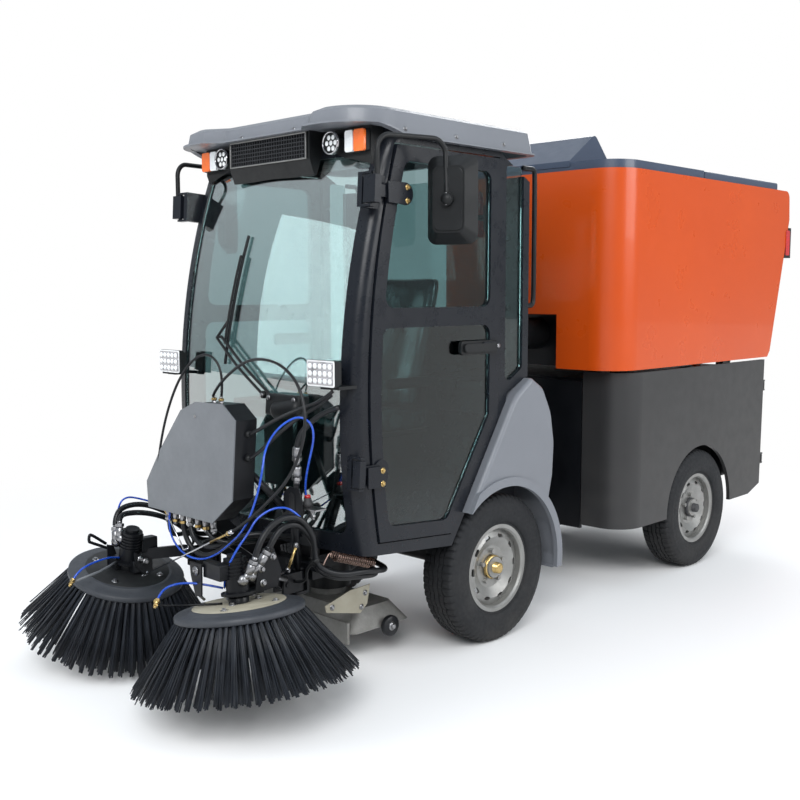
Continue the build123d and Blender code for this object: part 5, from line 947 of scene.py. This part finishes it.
OIL_HOSES = {               # 1 and 2 run over the arm to the tie, 3 and 4 from there into the frame
    "left_1": (
        (1.222, 0.445, 0.560), (1.205, 0.450, 0.620), (1.160, 0.455, 0.678), (1.100, 0.462, 0.708),
        (1.030, 0.480, 0.698), (0.983, 0.495, 0.625), (0.966, 0.478, 0.572), (0.950, 0.468, 0.520)),
    "left_2": (
        (1.149, 0.440, 0.594), (1.132, 0.447, 0.632), (1.094, 0.455, 0.672), (1.040, 0.468, 0.675),
        (0.996, 0.480, 0.636), (0.960, 0.480, 0.570), (0.950, 0.458, 0.545), (0.938, 0.446, 0.505)),
    "left_3": (
        (0.950, 0.468, 0.520), (0.930, 0.466, 0.482), (0.850, 0.498, 0.448), (0.750, 0.520, 0.448),
        (0.660, 0.515, 0.432), (0.585, 0.480, 0.418), (0.555, 0.400, 0.420), (0.552, 0.320, 0.430),
        (0.552, 0.245, 0.432)),
    "left_4": (
        (0.938, 0.446, 0.505), (0.915, 0.446, 0.462), (0.845, 0.478, 0.430), (0.750, 0.500, 0.424),
        (0.670, 0.490, 0.412), (0.610, 0.450, 0.405), (0.590, 0.380, 0.412), (0.588, 0.310, 0.428),
        (0.588, 0.245, 0.432)),
    "right_1": (
        (1.258, -0.438, 0.560), (1.252, -0.444, 0.590), (1.225, -0.452, 0.622), (1.170, -0.455, 0.632),
        (1.110, -0.447, 0.625), (1.050, -0.435, 0.600), (0.985, -0.425, 0.560), (0.940, -0.420, 0.510)),
    "right_2": (
        (1.258, -0.404, 0.582), (1.250, -0.412, 0.600), (1.215, -0.424, 0.606), (1.150, -0.425, 0.600),
        (1.090, -0.415, 0.585), (1.030, -0.405, 0.560), (0.970, -0.400, 0.520), (0.925, -0.398, 0.480)),
    "right_3": (
        (0.940, -0.420, 0.510), (0.905, -0.420, 0.475), (0.840, -0.425, 0.452), (0.740, -0.430, 0.445),
        (0.650, -0.410, 0.435), (0.590, -0.350, 0.432), (0.560, -0.245, 0.432)),
    "right_4": (
        (0.925, -0.398, 0.480), (0.890, -0.398, 0.448), (0.830, -0.400, 0.428), (0.740, -0.400, 0.420),
        (0.670, -0.380, 0.420), (0.620, -0.320, 0.428), (0.600, -0.245, 0.430)),
}
for hose_name, places in OIL_HOSES.items():
    side_name, number = hose_name.split("_")
    carrier = f"broom_carrier_{side_name}"
    ends = (f"broom_arm_{side_name}", carrier) if number in "12" else (carrier, "front_unit")
    hose(f"oil_hose_{hose_name}", route(*places), OIL_RADIUS, RUBBER, *ends)


# ties and frame fittings of the oil hoses: the ties' places, the fittings' places
TIES = {
    "left": (((0.950, 0.468, 0.520), (0.938, 0.446, 0.505)), ((0.552, 0.432), (0.588, 0.432))),
    "right": (((0.940, -0.420, 0.510), (0.925, -0.398, 0.480)), ((0.560, 0.432), (0.600, 0.430))),
}


def make_ties(side_name, side):
    """Strap round the hoses on a short post of the carrier, and their fittings on the frame."""
    places, sockets = TIES[side_name]
    places = route(*places)
    foot, end = ahead(0.930, side * 0.322, 0.405), places[1]
    strap = ((0.0112, -0.009), (0.0150, -0.009), (0.0155, 0), (0.0150, 0.009), (0.0112, 0.009))
    form = Form()
    for place in places:
        form.turned(basis(place, (-0.5, 0.1, -0.8)), strap, 20)
    post = [foot, foot + Vector((0, side * 0.075, 0.010)), end - Vector((0, side * 0.05, 0.03)), end]
    form.tube(spline_path(post), 0.006, 0, 10)
    form.finish(f"hose_tie_{side_name}", f"broom_carrier_{side_name}", [PLASTIC])
    form = Form()
    for x, z in sockets:
        form.fitting(ahead(x, side * 0.248, z), (0, side, 0), OIL_RADIUS)
    form.finish(f"frame_fittings_{side_name}", "front_unit", [STEEL])


for side_name, side in SIDES:
    make_ties(side_name, side)


def make_box_fittings():
    """Hose ends under, beside and on the valve box."""
    form = Form()
    low = 0.665
    union = ((0, 0), (0.015, 0), (0.015, 0.012), (0.011, 0.016), (0.011, 0.030), (0, 0.032))
    for k in range(-3, 4):
        y = -0.035 + 0.050 * k
        form.turned(basis(ahead(1.160, y, low), (0, 0, -1)), union, 6, 1)
        form.fitting(ahead(1.160, y, low - 0.018), (0.02, 0.05 * k, -1), 0.0095, 0, 1 if k % 3 else 0)
    gland = ((0, 0), (0.013, 0), (0.014, 0.016), (0.010, 0.024), (0, 0.026))
    for z in (0.998, 0.908):
        form.turned(basis(ahead(1.125, 0.284, z), (0, 1, 0)), gland, 20, 2)
    for y in (0.105, 0.150):
        form.fitting(ahead(1.135, y, 1.090), (0.05, 0, 1), 0.0075, 0, 1)
    form.bolt(ahead(1.1845, 0.055, 1.050), (1, 0, 0), 0.008)
    form.finish("box_fittings", "front_unit", [STEEL, BRASS, PLASTIC])


make_box_fittings()

FRONT_LINES = (             # name, radius, places
    ("box_hose_1", 0.0105, (
        (1.160, -0.085, 0.612), (1.162, -0.082, 0.570), (1.150, -0.040, 0.505), (1.140, 0.035, 0.490),
        (1.128, 0.110, 0.525), (1.095, 0.190, 0.590), (1.020, 0.255, 0.600), (0.940, 0.262, 0.572),
        (0.852, 0.250, 0.560))),
    ("box_hose_2", 0.0095, (
        (1.160, -0.035, 0.612), (1.164, -0.025, 0.575), (1.158, 0.030, 0.535), (1.135, 0.100, 0.540),
        (1.080, 0.165, 0.578), (1.000, 0.200, 0.582), (0.920, 0.205, 0.560), (0.852, 0.200, 0.552))),
    ("box_hose_3", 0.0095, (
        (1.160, -0.185, 0.612), (1.158, -0.190, 0.570), (1.120, -0.210, 0.530), (1.040, -0.215, 0.535),
        (0.950, -0.215, 0.556), (0.852, -0.215, 0.552))),
    ("box_hose_4", 0.0085, (
        (1.160, 0.065, 0.612), (1.158, 0.085, 0.580), (1.120, 0.150, 0.560), (1.040, 0.180, 0.556),
        (0.950, 0.170, 0.548), (0.852, 0.160, 0.548))),
)
WATER_TUBES = (             # name, body, the body it swings with, places
    ("water_tube_loop", "front_unit", None, (
        (1.172, -0.160, 0.660), (1.172, -0.172, 0.600), (1.166, -0.160, 0.530), (1.156, -0.090, 0.478),
        (1.150, 0.010, 0.474), (1.150, 0.110, 0.510), (1.160, 0.210, 0.570), (1.178, 0.320, 0.640),
        (1.190, 0.400, 0.730), (1.164, 0.425, 0.860), (1.129, 0.400, 0.960), (1.093, 0.440, 1.040),
        (1.057, 0.520, 1.085), (1.015, 0.555, 1.030), (0.992, 0.470, 0.860), (0.962, 0.425, 0.780),
        (0.950, 0.420, 0.742))),
    ("water_tube_left", "broom_arm_left", "broom_carrier_left", (
        (1.262, 0.322, 0.450), (1.285, 0.352, 0.500), (1.270, 0.392, 0.590), (1.215, 0.408, 0.660),
        (1.180, 0.412, 0.710), (1.120, 0.440, 0.745), (1.060, 0.475, 0.735), (1.012, 0.488, 0.672))),
    ("water_tube_right", "broom_arm_right", None, (
        (1.262, -0.476, 0.415), (1.250, -0.482, 0.470), (1.228, -0.480, 0.550), (1.215, -0.478, 0.640),
        (1.180, -0.474, 0.664), (1.130, -0.468, 0.652), (1.080, -0.455, 0.632))),
)
FRONT_CABLES = (            # name, radius, places
    ("lift_cable_left", 0.0055, (
        (1.143, 0.107, 1.128), (1.147, 0.140, 1.170), (1.158, 0.300, 1.262), (1.168, 0.430, 1.290),
        (1.180, 0.580, 1.270), (1.190, 0.690, 1.185), (1.205, 0.720, 1.040), (1.222, 0.655, 0.890),
        (1.240, 0.520, 0.770), (1.256, 0.440, 0.705), (1.268, 0.380, 0.668))),
    ("lift_cable_right", 0.0050, (
        (1.135, 0.150, 1.128), (1.140, 0.172, 1.215), (1.152, 0.120, 1.290), (1.166, 0.030, 1.278),
        (1.178, -0.070, 1.185), (1.186, -0.150, 1.040), (1.188, -0.205, 0.880), (1.180, -0.235, 0.760),
        (1.165, -0.225, 0.665))),
    ("box_cable_1", 0.0070, (
        (1.125, 0.306, 0.998), (1.100, 0.340, 1.020), (1.050, 0.385, 1.060), (0.990, 0.440, 1.095),
        (0.945, 0.500, 1.120), (0.925, 0.545, 1.160))),
    ("box_cable_2", 0.0070, (
        (1.125, 0.306, 0.908), (1.110, 0.330, 0.925), (1.060, 0.375, 0.990), (1.000, 0.425, 1.055),
        (0.950, 0.480, 1.098), (0.922, 0.535, 1.145))),
)
for hose_name, radius, places in FRONT_LINES:
    hose(hose_name, route(*places), radius, RUBBER, "front_unit")
for hose_name, body, swings_with, places in WATER_TUBES:
    hose(hose_name, route(*places), WATER_RADIUS, BLUE_HOSE, body, swings_with, "medium")
for hose_name, radius, places in FRONT_CABLES:
    hose(hose_name, route(*places), radius, RUBBER, "front_unit")


def make_cable_end(name, start, end, body):
    """Adjuster at a lift cable's end, and its bright inner wire; it rides on the front unit unless a body is
    named, and then on none.
    """
    start, end = ahead(*start), ahead(*end)
    way = (end - start).normalized()
    hook = [end - way * 0.01, end, end + Vector((-0.012, 0.012, 0.006)), end + Vector((-0.020, 0.004, 0.014))]
    wire = 0.0032
    form = Form()
    form.fitting(start - way * 0.004, way, 0.0070, 0, 1)
    form.rod(start, start.lerp(end, 0.22), 0.0045, 1)
    form.rod(start, end, wire, 0, 8)
    form.tube(smooth_path(hook, 4), wire, 0, 8)
    obj = form.finish(name, None if body else "front_unit", [CHROME, BRASS])
    if body:
        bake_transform(obj)


make_cable_end("lift_wire_left", (1.268, 0.380, 0.668), (1.288, -0.191, 0.400), "broom_carrier_right")
make_cable_end("lift_wire_right", (1.165, -0.225, 0.665), (1.185, -0.050, 0.512), None)


# ---------------------------------------------------------------- fittings between the valve box and the cab
def make_fitting_column(form):
    """Two crimped ends one above the other, with the hoses that leave them upwards and downwards."""
    top, bottom = ahead(1.000, 0.428, 0.950), ahead(0.985, 0.405, 0.800)
    way = bottom - top
    form.fitting(top, way, 0.013)
    down = route((0.975, 0.380, 0.700), (0.940, 0.330, 0.580), (0.900, 0.290, 0.470))
    form.tube(spline_path([top.lerp(bottom, 0.30), top.lerp(bottom, 0.6), bottom, *down]), 0.011, 2)
    form.fitting(top.lerp(bottom, 0.5), way, 0.013)
    upwards = route((0.960, 0.455, 1.040), (0.930, 0.500, 1.080), (0.905, 0.555, 1.100))
    form.tube(spline_path([top, top + Vector((0.002, 0.006, 0.04)), *upwards]), 0.010, 2)


def make_slot_plate(form):
    """Plate with a slot, on the beam across the front, and its stays."""
    form.plate(facing(0.990, (0.330, 0.660), (0.340, 0.765), (0.375, 0.795), (0.430, 0.790), (0.450, 0.740),
                      (0.440, 0.660)), (1, 0, 0), 0.006, 1)
    form.plate(facing(0.9965, (0.375, 0.690), (0.375, 0.765), (0.390, 0.778), (0.408, 0.765), (0.408, 0.690),
                      (0.390, 0.680)), (1, 0, 0), 0.0015, 2)
    form.rod(ahead(0.985, 0.390, 0.670), ahead(0.900, 0.300, 0.440), 0.016, 1)
    form.rod(ahead(0.985, 0.345, 0.700), ahead(1.090, 0.230, 0.860), 0.014, 1)


def make_regulator(form):
    """Regulator with a red knob on its shelf."""
    up = (0, 0, 1)
    body = ((0, 0), (0.020, 0), (0.020, 0.018), (0.014, 0.022), (0.014, 0.034), (0, 0.036))
    knob = ((0, 0), (0.013, 0), (0.012, 0.010), (0, 0.012))
    form.block(ahead(0.950, 0.450, 0.715), (0.055, 0.100, 0.006), 0, 0.001)
    form.turned(basis(ahead(0.950, 0.425, 0.718), up), body, 24, 4)
    form.turned(basis(ahead(0.950, 0.425, 0.753), up), knob, 20, 3)
    form.fitting(ahead(0.950, 0.445, 0.712), (0, 0.3, -1), 0.008)
    form.rod(ahead(0.950, 0.400, 0.713), ahead(0.900, 0.300, 0.560), 0.008, 1)


def make_return_spring():
    """Copper coil spring with a hooked end at each side."""
    turns, steps, radius, wire = 19, 16, 0.0205, 0.0030
    start, end = ahead(0.800, 0.405, 0.500), ahead(0.585, 0.395, 0.425)
    way = (end - start).normalized()
    across = way.orthogonal().normalized()
    other = way.cross(across)
    coil = []
    for k in range(turns * steps + 1):
        x, y = polar(radius, TAU * k / steps)
        coil.append(start.lerp(end, k / (turns * steps)) + across * x + other * y)
    front_hook = [coil[0], start - way * 0.010, start - way * 0.030, ahead(0.862, 0.400, 0.455)]
    back_hook = [coil[-1], end + way * 0.012, end + way * 0.04]
    back_hook += route((0.530, 0.330, 0.430), (0.520, 0.245, 0.432))
    form = Form()
    for path in (coil, smooth_path(front_hook, 5), smooth_path(back_hook, 5)):
        form.tube(path, wire, 0, 6)
    form.finish("return_spring", "front_unit", [COPPER])


def make_cab_front():
    form = Form()
    make_fitting_column(form)
    make_slot_plate(form)
    make_regulator(form)
    form.block(ahead(0.868, 0.330, 0.458), (0.030, 0.240, 0.026), 1, 0.003)     # beam across the front
    form.finish("cab_front_fittings", "front_unit", [STEEL, FRAME_BLACK, RUBBER, EXTINGUISHER, CAST])


make_cab_front()
make_return_spring()


def make_nozzle_brackets():
    """Pale brackets with bolts and a round rubber buffer on the nozzle's sides."""
    form = Form()
    buffer = ((0.010, -0.012), (0.040, -0.012), (0.044, -0.006), (0.044, 0.010), (0.040, 0.014),
              (0.010, 0.014))
    for _, side in SIDES:
        outwards = (0, side, 0)
        form.plate(sideways(side * 0.364, (0.682, 0.326), (0.570, 0.331), (0.587, 0.251), (0.627, 0.219),
                            (0.810, 0.262), (0.816, 0.290)), outwards, 0.005)
        for x, z in ((0.600, 0.300), (0.620, 0.245), (0.780, 0.278)):
            form.bolt(ahead(x, side * 0.369, z), outwards, 0.007, 1)
        form.turned(basis(ahead(0.46, side * 0.372, 0.130), outwards), buffer, 28, 2)
        form.bolt(ahead(0.46, side * 0.386, 0.130), outwards, 0.011, 1)
    form.finish("nozzle_fittings", "nozzle", [BEIGE, STEEL, RUBBER])


make_nozzle_brackets()


# ---------------------------------------------------------------- cab trim, lenses and handrails
LEAF_RADIUS = 0.043         # round end of a hinge leaf
LEAVES = ((0.736, 0.823, 0.800), (0.600, 1.888, 0.690))     # x and z of the round end's middle, x of the root


def make_hinge_leaf(side_name, side):
    """Large outer leaf of each door hinge, with two bolts, the flat door handle and its lock."""
    form = Form()
    outwards = (0, side, 0)
    y = side * 0.5925
    for x, z, root_x in LEAVES:
        outline = [(root_x, z + LEAF_RADIUS), (x + 0.020, z + LEAF_RADIUS)]
        for angle in range(100, 261, 20):
            along, up = polar(LEAF_RADIUS, math.radians(angle))
            outline.append((x + along, z + up))
        outline += [(x + 0.020, z - 0.037), (root_x, z - 0.037)]
        form.plate([ahead(px, y, pz) for px, pz in outline], outwards, 0.008, 0, 0.002)
        for up in (-0.025, 0.025):
            form.bolt(ahead(x - 0.012, y + side * 0.008, z + up), outwards, 0.007, 1)
    # handle: a wide grip that stands off the door, on a rounded plate
    grip = basis(ahead(0.160, side * 0.600, 1.292), outwards)
    lock = basis(ahead(0.056, side * 0.615, 1.296), outwards)
    form.prism(grip @ shift(0, 0, -0.014), rounded(0.236, 0.056, 0.014), 0.018, 2, 0.004)
    form.prism(grip @ shift(0, 0, 0.002), rounded(0.214, 0.034, 0.012), 0.014, 2, 0.005)
    form.turned(lock, ((0, 0), (0.009, 0), (0.009, 0.004), (0, 0.005)), 20, 3)
    form.finish(f"hinge_leaf_{side_name}", f"door_{side_name}", [CAB_BLACK, BRASS, PLASTIC, STEEL])


for side_name, side in SIDES:
    make_hinge_leaf(side_name, side)


def make_roof_screws():
    """Screws along the lower edge of the roof, where a ray from outside meets it."""
    form = Form()
    rays = [(ahead(x, side * 0.9, 2.128), Vector((0, -side, 0)))
            for _, side in SIDES for x in (0.600, 0.310, 0.013)]
    rays += [(ahead(1.5, y, 2.150), Vector((-1, 0, 0))) for y in (-0.151, 0.181)]
    for start, way in rays:
        hit, place, normal, _ = frame["nodes"]["roof_cap"].ray_cast(start, way)
        if hit:
            form.bolt(place, normal, 0.0055)
    form.finish("roof_screws", "front_unit", [STEEL])


def make_rear_lenses():
    """Red and amber lenses of the rear lamps, and their side markers."""
    form = Form()
    low, high = (Vector(corner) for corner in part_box("rear_lamps"))
    for _, side in SIDES:
        for k, slot in enumerate((0, 1, 0)):
            place = Vector((low.x + 0.001, side * 0.595, low.z + 0.031 + k * 0.058))
            form.prism(basis(place, (-1, 0, 0)), rounded(0.022, 0.052, 0.004, 3), 0.002, slot, 0.0006)
        marker = basis((low.x + 0.043, side * (high.y - 0.001), (low.z + high.z) / 2), (0, side, 0))
        form.prism(marker, rounded(0.050, 0.150, 0.010), 0.003, 0, 0.001)
    form.finish("rear_lenses", "hopper", [LENS_RED, LENS_ORANGE])


def make_handrail(side_name, side):
    """Grab rail on a rear corner of the cab."""
    form = Form()
    low, high = 1.46, 2.05
    rail = sideways(side * 0.560, (-0.170, low), (-0.215, low), (-0.252, low), (-0.256, low + 0.05),
                    (-0.256, (low + high) / 2), (-0.256, high - 0.05), (-0.252, high), (-0.215, high),
                    (-0.170, high))
    form.tube(spline_path(rail), 0.011)
    form.finish(f"handrail_{side_name}", "front_unit", [FRAME_BLACK])


make_roof_screws()
make_rear_lenses()
for side_name, side in SIDES:
    make_handrail(side_name, side)


# ---------------------------------------------------------------- seat and extinguisher
CUSHION_STEPS = 18
CHANNEL_AT, CHANNEL_WIDTH, CHANNEL_DEPTH = 0.62, 0.035, 0.004   # the first two as shares of the half width


def cushion_point(u, v, top, length, width, depth):
    """Place along, across and up on a cushion, at u across and v along it, each from -1 to 1."""
    border = max(abs(u), abs(v)) == 1
    pull = (1 - 0.03 * (u * u * (1 - v * v) + v * v * (1 - u * u))) * (1 - 0.045 * abs(u * v) ** 6)
    if border:
        rise = depth * (0.18 if top else -0.30)
        pull *= 1 if top else 0.985
    elif top:
        channel = CHANNEL_DEPTH * math.exp(-((abs(u) - CHANNEL_AT) / CHANNEL_WIDTH) ** 2)
        rise = depth * (0.34 + 0.16 * (1 - u ** 6) * (1 - v ** 6)) - channel
    else:
        rise = -depth * 0.5
    return v * length / 2 * pull, u * width / 2 * pull, rise


def make_cushion(name, centre, length, width, depth, lean=None):
    """Crowned cushion with sides that pull in and two sewn channels; it lies flat, or stands with a lean."""
    steps = CUSHION_STEPS
    verts = []
    for top in (False, True):
        for i in range(steps + 1):
            for j in range(steps + 1):
                x, y, rise = cushion_point(2 * i / steps - 1, 2 * j / steps - 1, top, length, width, depth)
                place = (x, y, rise) if lean is None else (rise + lean * (x / length), y, x)
                verts.append(centre + Vector(place))

    def index(top, i, j):
        return (top * (steps + 1) + i) * (steps + 1) + j

    faces = [(index(top, i, j), index(top, i + 1, j), index(top, i + 1, j + 1), index(top, i, j + 1))
             for top in (0, 1) for i in range(steps) for j in range(steps)]
    rim = [(i, 0) for i in range(steps)] + [(steps, j) for j in range(steps)]
    rim += [(i, steps) for i in range(steps, 0, -1)] + [(0, j) for j in range(steps, 0, -1)]
    faces += [(index(0, *here), index(0, *after), index(1, *after), index(1, *here))
              for here, after in zip(rim, rim[1:] + rim[:1])]
    form = Form()
    form.add(verts, faces, smooth=True)
    obj = form.finish(name, "front_unit", [WRAP])
    round_off = obj.modifiers.new("round", "SUBSURF")
    round_off.levels = round_off.render_levels = 1
    return obj


def make_seat():
    """Cushion, back and armrests of the driver's seat on its box."""
    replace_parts(make_cushion("seat_cushion", ahead(0.255, 0, 0.961), 0.450, 0.470, 0.102), "seat")
    make_cushion("seat_back", ahead(0.075, 0, 1.300), 0.580, 0.450, 0.080, lean=-0.155)
    form = Form()
    form.block(ahead(0.255, 0, 0.712), (0.400, 0.400, 0.385), 0, 0.012)
    form.block(ahead(0.240, 0, 0.905), (0.400, 0.440, 0.022), 0, 0.006)
    for _, side in SIDES:
        form.block(ahead(0.205, side * 0.262, 1.130), (0.300, 0.050, 0.045), 0, 0.014)
        form.block(ahead(0.080, side * 0.250, 1.060), (0.050, 0.024, 0.170), 0, 0.006)
    form.finish("seat_base", "front_unit", [PLASTIC])


def make_extinguisher():
    """Red bottle with its valve, lever, strap and bracket, behind the seat."""
    up = (0, 0, 1)
    bottle = ahead(-0.120, 0.330, 1.760)
    shell = ((0, 0), (0.036, 0), (0.040, 0.004), (0.040, 0.170), (0.034, 0.192), (0.016, 0.204),
             (0.016, 0.212), (0, 0.214))
    valve = ((0, 0), (0.014, 0), (0.014, 0.022), (0, 0.024))
    strap = ((0.0402, -0.012), (0.0420, -0.012), (0.0420, 0.012), (0.0402, 0.012))
    form = Form()
    form.turned(basis(bottle, up), shell, 28)
    form.turned(basis(bottle + Vector((0, 0, 0.212)), up), valve, 16, 1)
    form.block(bottle + Vector((0.020, 0, 0.243)), (0.075, 0.014, 0.012), 2, 0.003)
    form.turned(basis(bottle + Vector((0, 0, 0.085)), up), strap, 28, 2)
    form.block(bottle + Vector((-0.046, 0, 0.085)), (0.012, 0.040, 0.120), 2, 0.002)
    form.finish("extinguisher", "front_unit", [EXTINGUISHER, BRASS, PLASTIC])


make_seat()
make_extinguisher()
